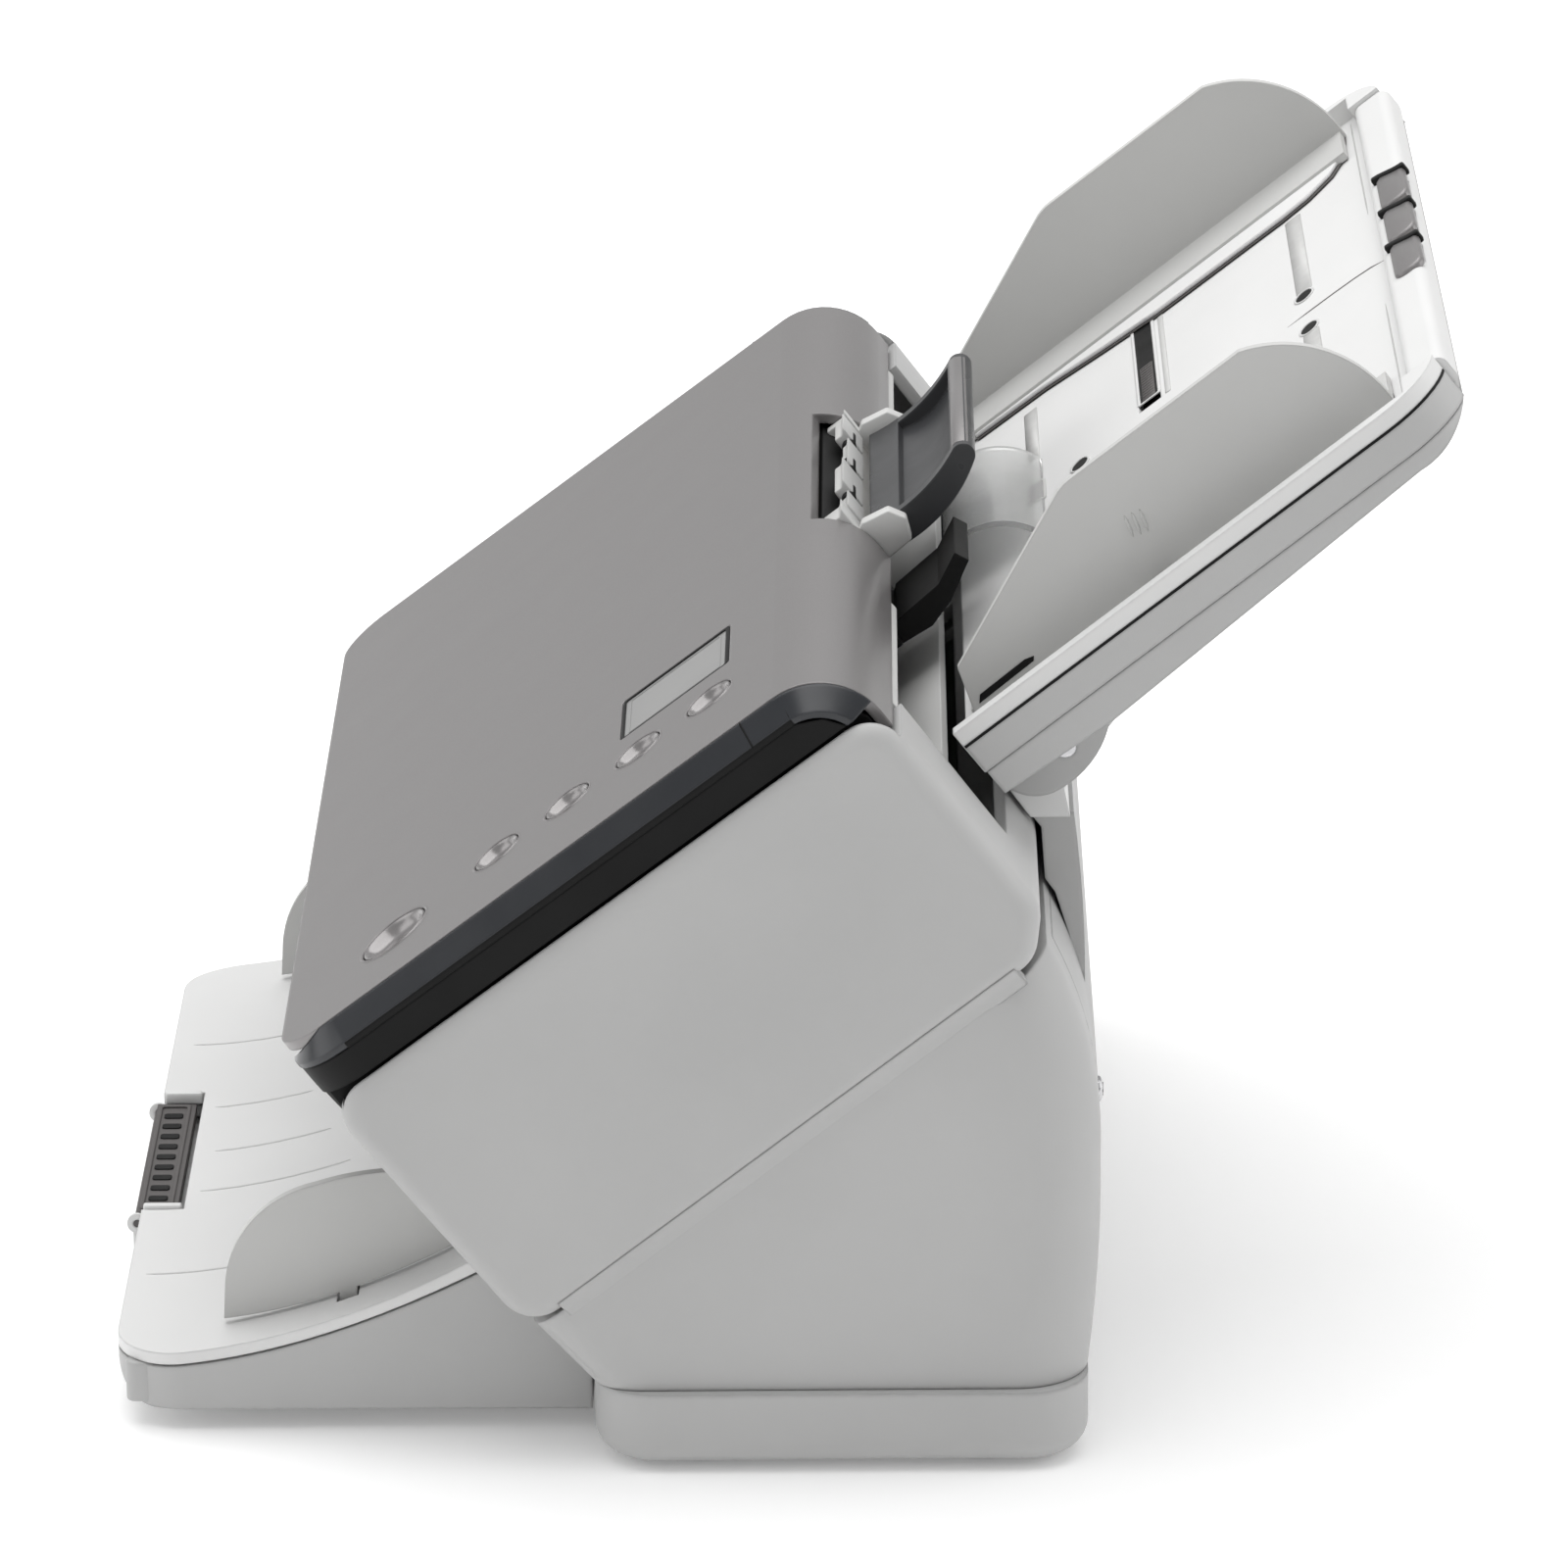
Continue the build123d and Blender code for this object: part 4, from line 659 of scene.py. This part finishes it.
# ---- front cover -----------------------------------------------------------------------
class SCANNER_OT_cover_details(bpy.types.Operator):
    """Add the screen surround, the dished caps, the band edge and the trim seams"""
    bl_idname = "scanner.cover_details"
    bl_label = "Cover details"

    def execute(self, context):
        self.screen()
        self.keys()
        self.power()
        self.seams()
        self.band_edge()
        return {"FINISHED"}

    def band_edge(self):
        """Black lower edge of the sloped trim, where the band below it begins."""
        parts = []
        for side in (-1, 1):
            outline = [(147.55, -2.95), (149.72, -5.1), (149.72, -6.35), (149.2, -6.35), (147.3, -3.2)]
            parts.append(([(side * x, n) for x, n in outline], 2.6, 127.0))
        make_piece("band_edge", "front_unit", "black", slabs("band edge", parts, cut_of_face))

    def screen(self):
        """Dark lip round the screen and the paler image area inside it."""
        outer = rectangle(70.25, 96.35, 82.2, 112.8, 1.2)
        inner = rectangle(71.15, 95.6, 83.0, 111.6, 0.8)
        make_piece("screen_lip", "front_unit", "black",
                   frame_mesh("screen lip", outer, inner, -0.6, -0.02, on_face, 0.12))
        far = rectangle(72.4, 94.4, 84.2, 110.2, 0.5)
        near = rectangle(72.75, 94.05, 84.55, 109.85, 0.4)
        make_piece("screen_border", "front_unit", "screen",
                   frame_mesh("screen border", far, near, -0.32, -0.2, on_face))

    def keys(self):
        """Deeply dished caps in place of the plain ones, one for each key."""
        profile = [(0, -5.6), (2.6, -5.6), (2.6, -2.9), (5.9, -2.9), (5.9, -0.25), (5.8, 0.0),
                   (5.55, 0.08), (5.3, -0.02), (5.0, -0.4), (4.5, -1.1), (3.8, -1.6), (2.6, -1.85),
                   (1.4, -1.6), (0.6, -1.35), (0, -1.3)]
        for number in range(KEY_COUNT):
            centre = on_face(KEY_X, FIRST_KEY_U + KEY_PITCH * number, 0)
            mesh = turned(f"key {number + 1} cap", profile, centre, FACE_OUT, ACROSS)
            piece = make_piece(f"key_{number + 1}_cap", f"key_{number + 1}", "button", mesh)
            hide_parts(f"key_{number + 1}")
        collar = turned("collar", [(6.3, -0.5), (6.75, -0.5), (6.8, 0.0), (6.6, 0.1), (6.4, 0.04),
                                   (6.3, -0.1), (6.3, -0.5)], CENTRE, FACE_OUT, ACROSS)
        repeated("key_collars", "front_unit", "skin", collar, row_group(),
                 {"Count": KEY_COUNT, "Start": on_face(KEY_X, FIRST_KEY_U, 0),
                  "Step": FACE_UP * KEY_PITCH * MM})

    def power(self):
        """Deeply dished cap of the power button and the collar round it."""
        centre = on_face(POWER_X, POWER_U, 0)
        cap = [(0, -5.6), (3.4, -5.6), (3.4, -3.6), (8.6, -3.6), (8.6, -0.3), (8.45, 0.0),
               (8.15, 0.08), (7.8, -0.06), (7.4, -0.6), (6.7, -1.5), (5.6, -2.2), (4.0, -2.6),
               (2.0, -2.4), (0.8, -2.2), (0, -2.15)]
        piece = make_piece("power_cap", "power_button", "button",
                           turned("power cap", cap, centre, FACE_OUT, ACROSS, 64))
        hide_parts("power_button")
        ring = [(9.0, -0.5), (9.6, -0.5), (9.65, 0.02), (9.4, 0.14), (9.15, 0.06), (9.0, -0.1),
                (9.0, -0.5)]
        make_piece("power_collar", "front_unit", "skin",
                   turned("power collar", ring, centre, FACE_OUT, ACROSS, 64))

    def seams(self):
        """Fine parting seams of the sloped trim on both sides."""
        parts = []
        for side in (-1, 1):
            xs = [144.2, 145.0, 149.3, 149.62, 149.62, 144.2]
            ns = [-0.14, -0.14, -4.5, -5.0, -6.2, -6.2]
            outline = [(side * x, n) for x, n in zip(xs, ns)]
            parts.append((outline, 116.3, 116.75))
        make_piece("trim_seams", "front_unit", "black", slabs("trim seams", parts, cut_of_face))


# ---- lever mechanism -------------------------------------------------------------------
class SCANNER_OT_lever_mechanism(bpy.types.Operator):
    """Add the lever's tip band, the white blocks behind it and the liner strip"""
    bl_idname = "scanner.lever_mechanism"
    bl_label = "Lever mechanism"

    def execute(self, context):
        self.tip()
        self.blocks()
        self.liner()
        return {"FINISHED"}

    def tip(self):
        """Paler band along the lever's tip."""
        outline = [(168.5, -10.35), (169.5, -9.6), (170.8, -9.55), (172.0, -10.2), (172.9, -11.2),
                   (172.4, -11.4), (171.7, -10.7), (170.6, -10.1), (169.6, -10.1), (168.7, -10.7)]
        make_piece("lever_tip_band", "release_lever", "skin",
                   slab("tip band", outline, -47.5, 19.5, along_x(on_face), 0.08))

    def blocks(self):
        """White moulded blocks in the cover's notch, with dark gaps between them."""
        blocks = []
        for x0, x1, u0, low, high in (
                (-54.6, -51.4, 134.6, -20.0, -7.0), (-49.6, -38.0, 137.4, -13.2, -6.4),
                (-35.6, -17.6, 138.2, -13.4, -8.4), (-15.2, 2.8, 137.4, -13.2, -6.4),
                (5.2, 16.2, 138.2, -13.4, -8.4), (18.6, 26.6, 134.8, -13.2, -5.8)):
            outline = [(u0, low), (141.0, low), (141.0, high + 1.6), (139.6, high), (u0, high)]
            blocks.append((outline, x0, x1))
        side = [(139.6, -21.0), (149.5, -20.4), (151.6, -15.4), (149.4, -11.4),
                (142.6, -10.2), (139.6, -12.4)]
        blocks.append((side, 22.45, 26.7))
        blocks.append((side, -54.6, -50.45))
        make_piece("notch_blocks", "front_unit", "liner",
                   slabs("notch blocks", blocks, along_x(on_face), 0.5))
        rods = turned("rod", [(0, -0.5), (1.5, -0.5), (1.7, -0.2), (1.7, 7.8), (1.5, 8.1), (0, 8.1)],
                      CENTRE, ACROSS, FACE_UP, 24)
        repeated("notch_bushes", "front_unit", "black", rods, row_group(),
                 {"Count": 3, "Start": on_face(-44, 139.4, -9.6), "Step": Vector((0.0205, 0, 0))})

    def liner(self):
        """White inner edge that shows behind the cover's return lip."""
        parts = []
        for x0, x1 in ((-126, -58), (56, 126)):
            outline = [(138.0, -24.2), (141.6, -24.6), (142.4, -23.6), (142.2, -21.2), (138.0, -21.2)]
            parts.append((outline, x0, x1))
        make_piece("cover_liner_strip", "front_unit", "liner",
                   slabs("liner strip", parts, along_x(on_face), 0.35))


# ---- input tray ------------------------------------------------------------------------
class SCANNER_OT_tray_details(bpy.types.Operator):
    """Add the strips, slot, holes, seams, latch and grip segments of the input tray"""
    bl_idname = "scanner.tray_details"
    bl_label = "Input tray details"

    def execute(self, context):
        self.strips()
        self.slot(context.scene.scanner_sizes)
        self.holes()
        self.seams()
        self.latch()
        self.grip()
        self.side_shell()
        return {"FINISHED"}

    def side_shell(self):
        """Grey shell edge round the tray below its rim, with the dark seam above it."""
        outer, inner = [], []
        for side in (-1, 1):
            turn = [radians(angle) for angle in range(0, 81, 10)]
            ring = [(126.22, 0.2)] + [(110 + 16.22 * cos(a), 118 + 16.22 * sin(a)) for a in turn]
            back = [(110 + 15.9 * cos(a), 118 + 15.9 * sin(a)) for a in turn[::-1]] + [(125.9, 0.2)]
            strip = [(side * x, t) for x, t in ring + back]
            outer.append((strip, -6.6, 0.55))
            inner.append((strip, 0.5, 1.15))
        make_piece("tray_side_shell", "input_tray", "casing", slabs("side shell", outer, on_tray))
        make_piece("tray_side_seam", "input_tray", "black", slabs("side seam", inner, on_tray))

    def strips(self):
        """Shallow flat strips across the floor, a shade darker than it."""
        parts = [(rectangle(-78, -16, 100.2, 104.8, 0.8), 0.0, 0.10),
                 (rectangle(-86, -18, 61.6, 63.2, 0.4), 0.0, 0.16),
                 (rectangle(-82, -40, 20.8, 24.8, 0.8), 0.0, 0.10)]
        parts += [([(-x, t) for x, t in outline][::-1], low, high) for outline, low, high in parts]
        make_piece("floor_strips", "input_tray", "liner", slabs("floor strips", parts, on_tray, 0.04))

    def slot(self, sizes):
        """Guide slot in the floor, a black strip laid in it as painted shadow, with its pale lip and the
        rack that shows in it.
        """
        black, rack = [], []
        lip = bmesh.new()
        for side in (-1, 1):
            x0, x1 = sorted((side * SLOT_NEAR, side * SLOT_FAR))
            # black strip just above the floor along the slot: painted shadow of its depth
            black.append((rectangle(x0, x1, SLOT_LOW, SLOT_HIGH, 0.5), 0.02, 0.14))
            a, b = sorted((side * 24.0, side * 50.0))
            rack.append((rectangle(a, b, 55.2, 58.9, 0.3), 0.1, 0.2))
            add_frame(lip, rectangle(x0 - 0.9, x1 + 0.9, SLOT_LOW - 0.9, SLOT_HIGH + 0.9, 0.9),
                      rectangle(x0, x1, SLOT_LOW, SLOT_HIGH, 0.5), 0.0, 0.34, on_tray)
        make_piece("guide_slot_shadow", "input_tray", "black", slabs("slot shadow", black, on_tray))
        make_piece("guide_slot_rack", "input_tray", "grip", slabs("slot rack", rack, on_tray, 0.05))
        make_piece("guide_slot_lips", "input_tray", "tray", to_mesh(lip, "slot lips", 0.1))
        tooth = slab("tooth", rectangle(-0.35, 0.35, -1.6, 1.6), 0.16, 0.31, from_tray, 0.08)
        repeated("guide_slot_teeth", "input_tray", "grip", tooth, row_group(),
                 {"Count": sizes.slot_teeth, "Start": on_tray(-49, 57, 0),
                  "Step": Vector((0.002, 0, 0))})

    def holes(self):
        """Rims of the floor's screw holes, and black discs in them as painted shade of the holes' depth.
        """
        spots = [on_tray(x, t, 0) for x in (-13, 13) for t in (36, 102.2)]
        rim = bmesh.new()
        add_frame(rim, oval(0, 0, 3.7, 2.9), oval(0, 0, 3.1, 2.3), 0.0, 0.3, from_tray)
        repeated("hole_rims", "input_tray", "tray", to_mesh(rim, "rim", 0.1), points_group(), {}, spots)
        # black disc just above the floor inside each rim: painted shade of the hole
        hole_shade = slab("hole_shade", oval(0, 0, 3.15, 2.35), 0.02, 0.12, from_tray)
        repeated("hole_bores", "input_tray", "black", hole_shade, points_group(), {}, spots)

    def seams(self):
        """Curved seam of the extender and the fine line across the tray's far end."""
        curve = [(0.6, 96.5), (0.7, 103), (0.9, 110), (1.5, 116), (2.5, 120.6), (4.6, 124.6)]
        groove = [(on_tray(x, t, 0.0), TRAY_OUT) for x, t in curve]
        across = [(on_tray(x, 122.6, 0.0), TRAY_OUT) for x in range(-118, -35, 8)]
        across_near = [(on_tray(x, 122.6, 0.0), TRAY_OUT) for x in range(36, 119, 8)]
        make_piece("extender_seam", "input_tray", "grip",
                   bead("extender seam", [groove], 0.9, 0.12))
        make_piece("far_end_seam", "input_tray", "guide",
                   bead("far end seam", [across, across_near], 0.45, 0.08))

    def latch(self):
        """Small latch plate on the floor with its raised frame."""
        outer = rectangle(-22.5, -7.5, 19.8, 26.0, 1.0)
        inner = rectangle(-21.6, -8.4, 20.7, 25.1, 0.6)
        make_piece("latch_frame", "input_tray", "guide",
                   frame_mesh("latch frame", outer, inner, 0.0, 0.36, on_tray, 0.1))
        make_piece("latch_plate", "input_tray", "grip",
                   slab("latch plate", rectangle(-21.7, -8.3, 20.6, 25.2, 0.6), 0.0, 0.2, on_tray, 0.06))

    def grip(self):
        """Three rounded finger segments with dark arcs, on the pull-out bar."""
        step_along = ACROSS * SEGMENT_PITCH * MM
        segment = bmesh.new()
        add_slab(segment, rectangle(-12.6, 12.6, 128.4, 136.2, 3.4), 2.6, 5.0, on_tray)
        repeated("grip_segments", "tray_extender", "skin", to_mesh(segment, "segment", 0.9),
                 row_group(), {"Count": 3, "Start": -step_along, "Step": step_along})
        arc = bmesh.new()
        steps = 12
        outer = [(-14.2 + 2.3 * (1 - cos(pi * step / steps)), 127.6 + 9.2 * step / steps)
                 for step in range(steps + 1)]
        inner = [(x + 2.6, t) for x, t in outer]
        add_slab(arc, outer + inner[::-1], 2.4, 5.5, on_tray)
        repeated("grip_arcs", "tray_extender", "black", to_mesh(arc, "arc", 0.5),
                 row_group(), {"Count": 3, "Start": -step_along, "Step": step_along})


# ---- paper guides ----------------------------------------------------------------------
class SCANNER_OT_guide_details(bpy.types.Operator):
    """Add the foot plates with their painted shadow strips, the finger ridges and the painted shade in
    the base clearances of the two side guides
    """
    bl_idname = "scanner.guide_details"
    bl_label = "Side guide details"

    def execute(self, context):
        for side, body in ((1, "side_guide_right"), (-1, "side_guide_left")):
            self.foot(side, body)
            self.ridges(side, body, context.scene.scanner_sizes)
            self.gap(side, body)
        return {"FINISHED"}

    def foot(self, side, body):
        """Wide thin foot that lies on the floor, with a dark strip under its edge as painted shadow."""
        edge = [(108.5, 7), (90.0, 7), (88.8, 28), (84.4, 45), (80.8, 62), (80.2, 100),
                (81.5, 108), (86.0, 115), (94.0, 119.4), (108.5, 120.4)]
        outline = [(side * x, t) for x, t in edge]
        mesh = slab("foot", outline, 0.62, 1.7, on_tray, 0.35)
        make_piece(body + "_foot", body, "tray", mesh)
        # dark strip a little wider than the foot, under its edge: painted shadow
        under = [(side * (x - (0.8 if x < 108 else 0)), t + (0.5 if t > 110 else 0)) for x, t in edge]
        make_piece(body + "_foot_gap", body, "grip", slab("foot shadow", under, 0.36, 0.6, on_tray))

    def ridges(self, side, body, sizes):
        """Three slanted finger ridges on the outer face."""
        x = side * GUIDE_FACE_X
        template = [(on_tray(x, 58.3 - step * 0.36, 17.6 - step * 1.3), Vector((side, 0, 0)))
                    for step in range(5)]
        repeated(body + "_ridges", body, "guide", bead("ridge", [template], 0.75, 0.45),
                 row_group(), {"Count": sizes.finger_ridges, "Start": CENTRE,
                               "Step": TRAY_UP * 1.75 * MM - TRAY_OUT * 0.45 * MM})

    def gap(self, side, body):
        """Black strip in the clearance under the guide's low end, as painted shade."""
        x0, x1 = sorted((side * (GUIDE_FACE_X - 0.2), side * (GUIDE_FACE_X + 0.25)))
        outline = [(6.2, 3.0), (21.8, 3.4), (22.6, 4.3), (20.4, 4.9), (7.6, 4.6)]
        # black strip in the clearance: painted shade
        make_piece(body + "_base_gap", body, "black",
                   slab("base gap shade", outline, x0, x1, along_x(on_tray), 0.1))


# ---- output tray -----------------------------------------------------------------------
class SCANNER_OT_output_details(bpy.types.Operator):
    """Add the embossed lines of the output tray and the frame and ridges of its grip"""
    bl_idname = "scanner.output_details"
    bl_label = "Output tray details"

    def execute(self, context):
        self.lines(context.scene.scanner_sizes)
        self.grip(context.scene.scanner_sizes)
        self.corner()
        self.step()
        return {"FINISHED"}

    def corner(self):
        """Rounded corner posts that close the base's front ends below the tray top."""
        posts = []
        for side in (-1, 1):
            x0, x1 = sorted((side * 117.5, side * 122.6))
            posts.append((rectangle(x0, x1, -146.6, -139.5, 2.4), 6.0, 15.5))
        make_piece("base_corner_posts", "machine", "casing", slabs("corner posts", posts, on_desk, 0.5))

    def step(self):
        """Pale step at each end of the grip."""
        parts = []
        for side in (-1, 1):
            x0, x1 = sorted((side * 35.0, side * 37.3))
            parts.append((rectangle(x0, x1, -148.6, -139.6, 0.5), 16.6, 19.4))
        make_piece("grip_end_steps", "machine", "tray", slabs("end steps", parts, on_desk, 0.3))

    def lines(self, sizes):
        """Low lines along the paper's way, lying on the curved top."""
        paths = []
        for x, start, end in ((-70, -144, -116), (-27, -136, -112), (2, -134, -106),
                              (27, -136, -100), (77, -145, -118)):
            path = []
            for step in range(13):
                y = start + (end - start) * step / 12
                path.append(land("output_tray_top", on_desk(x, y, 80), Vector((0, 0, -1))))
            paths.append(path)
        make_piece("output_lines", "machine", "tray",
                   bead("output lines", paths, sizes.line_width / MM, sizes.line_height / MM))

    def grip(self, sizes):
        """Raised border and fine ridges on the fold-up stop."""
        outer = rectangle(-33.4, 33.4, -149.8, -142.0, 1.2)
        inner = rectangle(-32.0, 32.0, -148.9, -142.9, 0.8)
        make_piece("stop_border", "output_stop", "grip",
                   frame_mesh("stop border", outer, inner, 16.7, 17.3, on_desk, 0.15))
        ridge = slab("ridge", rectangle(-1.5, 1.5, -148.2, -143.6, 0.8), 16.7, 17.1, on_desk, 0.12)
        repeated("stop_ridges", "output_stop", "black", ridge, row_group(),
                 {"Count": sizes.stop_ridges, "Start": Vector((-0.0264, 0, 0)),
                  "Step": Vector((0.0066, 0, 0))})


# ---- back, underside and screws --------------------------------------------------------
class SCANNER_OT_rear_details(bpy.types.Operator):
    """Add the rear screws, the power pin, the painted shade of the screw recesses and the pod joints"""
    bl_idname = "scanner.rear_details"
    bl_label = "Rear and underside details"

    def execute(self, context):
        self.inlets()
        self.screws()
        self.cover_screws()
        self.crease()
        return {"FINISHED"}

    def crease(self):
        """Soft joint that fills the groove between the side pods and the lower casing."""
        section = [(146.5, -86.0), (149.35, -87.6), (149.56, -86.6), (149.75, -85.6),
                   (150.1, -84.5), (150.7, -83.4), (151.35, -82.3), (149.5, -82.4), (147.0, -83.4)]
        parts = [([(side * x, n) for x, n in section], 2.0, 131.0) for side in (-1, 1)]

        def place(x, n, u):
            return on_face(x, u, n + (u + 8) * 2.0 / 143.5)

        make_piece("pod_joint", "machine", "casing", slabs("pod joint", parts, place))

    def inlets(self):
        """Pin of the power inlet."""
        back = max(corner[1] for corner in frame["nodes"]["power_socket"].bound_box) * 1000
        centre = on_desk(62, back - 6, 40)
        pin = [(0, 0), (1.1, 0), (1.1, 4.6), (0.8, 5.2), (0, 5.3)]
        make_piece("power_pin", "machine", "metal",
                   turned("power pin", pin, centre, Vector((0, 1, 0)), ACROSS, 24))

    def cover_screws(self):
        """Domed screws that hold the rear cover, with black crosses in their recesses as painted shade.
        """
        spots = [land("rear_cover", on_desk(x, 200, z), Vector((0, -1, 0)))[0]
                 for x in (-115, 115) for z in (31, 78)]
        outward = Vector((0, 1, 0))
        head = turned("head", [(0, -1.2), (3.0, -1.2), (3.0, 0.1), (2.8, 0.45), (2.2, 0.75), (1.2, 0.92),
                               (0, 0.96)], CENTRE, outward, ACROSS, 32)
        repeated("cover_screws", "machine", "metal", head, points_group(), {}, spots)
        # black cross in each head: painted shade of the recess
        arms = [(rectangle(-1.5, 1.5, -0.3, 0.3), 0.6, 1.02),
                (rectangle(-0.3, 0.3, -1.5, 1.5), 0.6, 1.03)]
        cross = slabs("cover cross", arms, lambda x, z, y: on_desk(x, y, z))
        repeated("cover_screw_recesses", "machine", "black", cross, points_group(), {}, spots)

    def screws(self):
        """Black crosses as painted shade in the cross recesses of the casing screws' heads."""
        node = frame["nodes"]["casing_screws"]
        low = min(corner[2] for corner in node.bound_box) * 1000
        cross = [(-0.45, -1.9), (0.45, -1.9), (0.45, -0.45), (1.9, -0.45), (1.9, 0.45), (0.45, 0.45),
                 (0.45, 1.9), (-0.45, 1.9), (-0.45, 0.45), (-1.9, 0.45), (-1.9, -0.45), (-0.45, -0.45)]
        # black cross in each head: painted shade of the recess
        template = slab("cross", cross, low - 0.02, low + 0.4, on_desk)
        spots = [Vector((x * MM, (16.15 + y) * MM, 0)) for x in (-141, 141) for y in (-32, 32)]
        repeated("screw_recesses", "machine", "black", template, points_group(), {}, spots)


# ---- stage -----------------------------------------------------------------------------
def add_lamp(name, place, target, size, power, colour=(1, 1, 1)):
    data = bpy.data.lights.new(name, "AREA")
    data.shape = "RECTANGLE"
    data.size, data.size_y = size
    data.energy = power
    data.color = colour
    lamp = bpy.data.objects.new(name, data)
    bpy.context.scene.collection.objects.link(lamp)
    lamp.location = place
    lamp.rotation_euler = (Vector(target) - Vector(place)).to_track_quat("-Z", "Y").to_euler()


class SCANNER_OT_stage(bpy.types.Operator):
    """Add the floor, the studio lamps and the camera"""
    bl_idname = "scanner.stage"
    bl_label = "Studio"

    def execute(self, context):
        settings = context.scene.scanner_stage
        self.add_floor()
        self.add_lights(settings.brightness)
        self.add_camera(context.scene, settings)
        return {"FINISHED"}

    def add_floor(self):
        build = bmesh.new()
        bmesh.ops.create_grid(build, x_segments=1, y_segments=1, size=6.0)
        mesh = bpy.data.meshes.new("floor")
        build.to_mesh(mesh)
        build.free()
        paper = Shader("paper floor", (0.98, 0.98, 0.98), 0.9, specular=0.1)
        paper.bump(paper.noise(400, 3), 0.00002)
        paper.shader.inputs["Emission Color"].default_value = (1, 1, 1, 1)
        paper.shader.inputs["Emission Strength"].default_value = 0.13
        mesh.materials.append(paper.material)
        floor = bpy.data.objects.new("floor", mesh)
        bpy.context.scene.collection.objects.link(floor)

    def add_lights(self, brightness):
        middle = (0, 0, 0.1)
        add_lamp("overhead", (-0.25, -0.1, 1.6), middle, (1.8, 2.2), 26 * brightness)
        add_lamp("front wall", (-0.1, -1.6, 0.7), middle, (1.2, 1.0), 5 * brightness)
        add_lamp("back wall", (-0.1, 1.6, 0.7), middle, (1.2, 1.0), 5 * brightness)
        world = bpy.data.worlds.new("studio")
        world.use_nodes = True
        world.node_tree.nodes["Background"].inputs["Color"].default_value = (1, 1, 1, 1)
        world.node_tree.nodes["Background"].inputs["Strength"].default_value = 0.52
        bpy.context.scene.world = world
        bpy.context.scene.view_settings.view_transform = "Standard"

    def add_camera(self, scene, settings):
        heading, elevation, roll = settings.heading, settings.elevation, settings.roll
        back = Vector((sin(heading) * cos(elevation), -cos(heading) * cos(elevation), sin(elevation)))
        right = Vector((cos(heading), sin(heading), 0))
        up = back.cross(right)
        turned_right = right * cos(roll) + up * sin(roll)
        turned_up = up * cos(roll) - right * sin(roll)
        data = bpy.data.cameras.new("camera")
        data.sensor_width = 36
        data.lens = settings.lens
        data.clip_end = 20
        camera = bpy.data.objects.new("camera", data)
        scene.collection.objects.link(camera)
        target = Vector((0, 0.003189, 0.110588))
        turn = Matrix((turned_right, turned_up, back)).transposed().to_4x4()
        camera.matrix_world = Matrix.Translation(target + back * settings.distance) @ turn
        scene.camera = camera


# ---- panel and registration ------------------------------------------------------------
OPERATORS = (
    SCANNER_OT_finish_frame,
    SCANNER_OT_cover_details,
    SCANNER_OT_lever_mechanism,
    SCANNER_OT_tray_details,
    SCANNER_OT_guide_details,
    SCANNER_OT_output_details,
    SCANNER_OT_rear_details,
    SCANNER_OT_stage,
)


class SCANNER_PT_parts(bpy.types.Panel):
    """Lists the steps that build the scanner"""
    bl_label = "Document scanner"
    bl_idname = "SCANNER_PT_parts"
    bl_space_type = "VIEW_3D"
    bl_region_type = "UI"
    bl_category = "Scanner"

    def draw(self, context):
        for operator in OPERATORS:
            self.layout.operator(operator.bl_idname)


CLASSES = (ScannerColours, ScannerSizes, ScannerStage, *OPERATORS, SCANNER_PT_parts)


def register():
    for item in CLASSES:
        bpy.utils.register_class(item)
    bpy.types.Scene.scanner_colours = PointerProperty(type=ScannerColours)
    bpy.types.Scene.scanner_sizes = PointerProperty(type=ScannerSizes)
    bpy.types.Scene.scanner_stage = PointerProperty(type=ScannerStage)


def unregister():
    del bpy.types.Scene.scanner_stage
    del bpy.types.Scene.scanner_sizes
    del bpy.types.Scene.scanner_colours
    for item in reversed(CLASSES):
        bpy.utils.unregister_class(item)


def main():
    register()
    for operator in OPERATORS:
        group, action = operator.bl_idname.split(".")
        getattr(getattr(bpy.ops, group), action)()


if __name__ == "__main__":
    main()
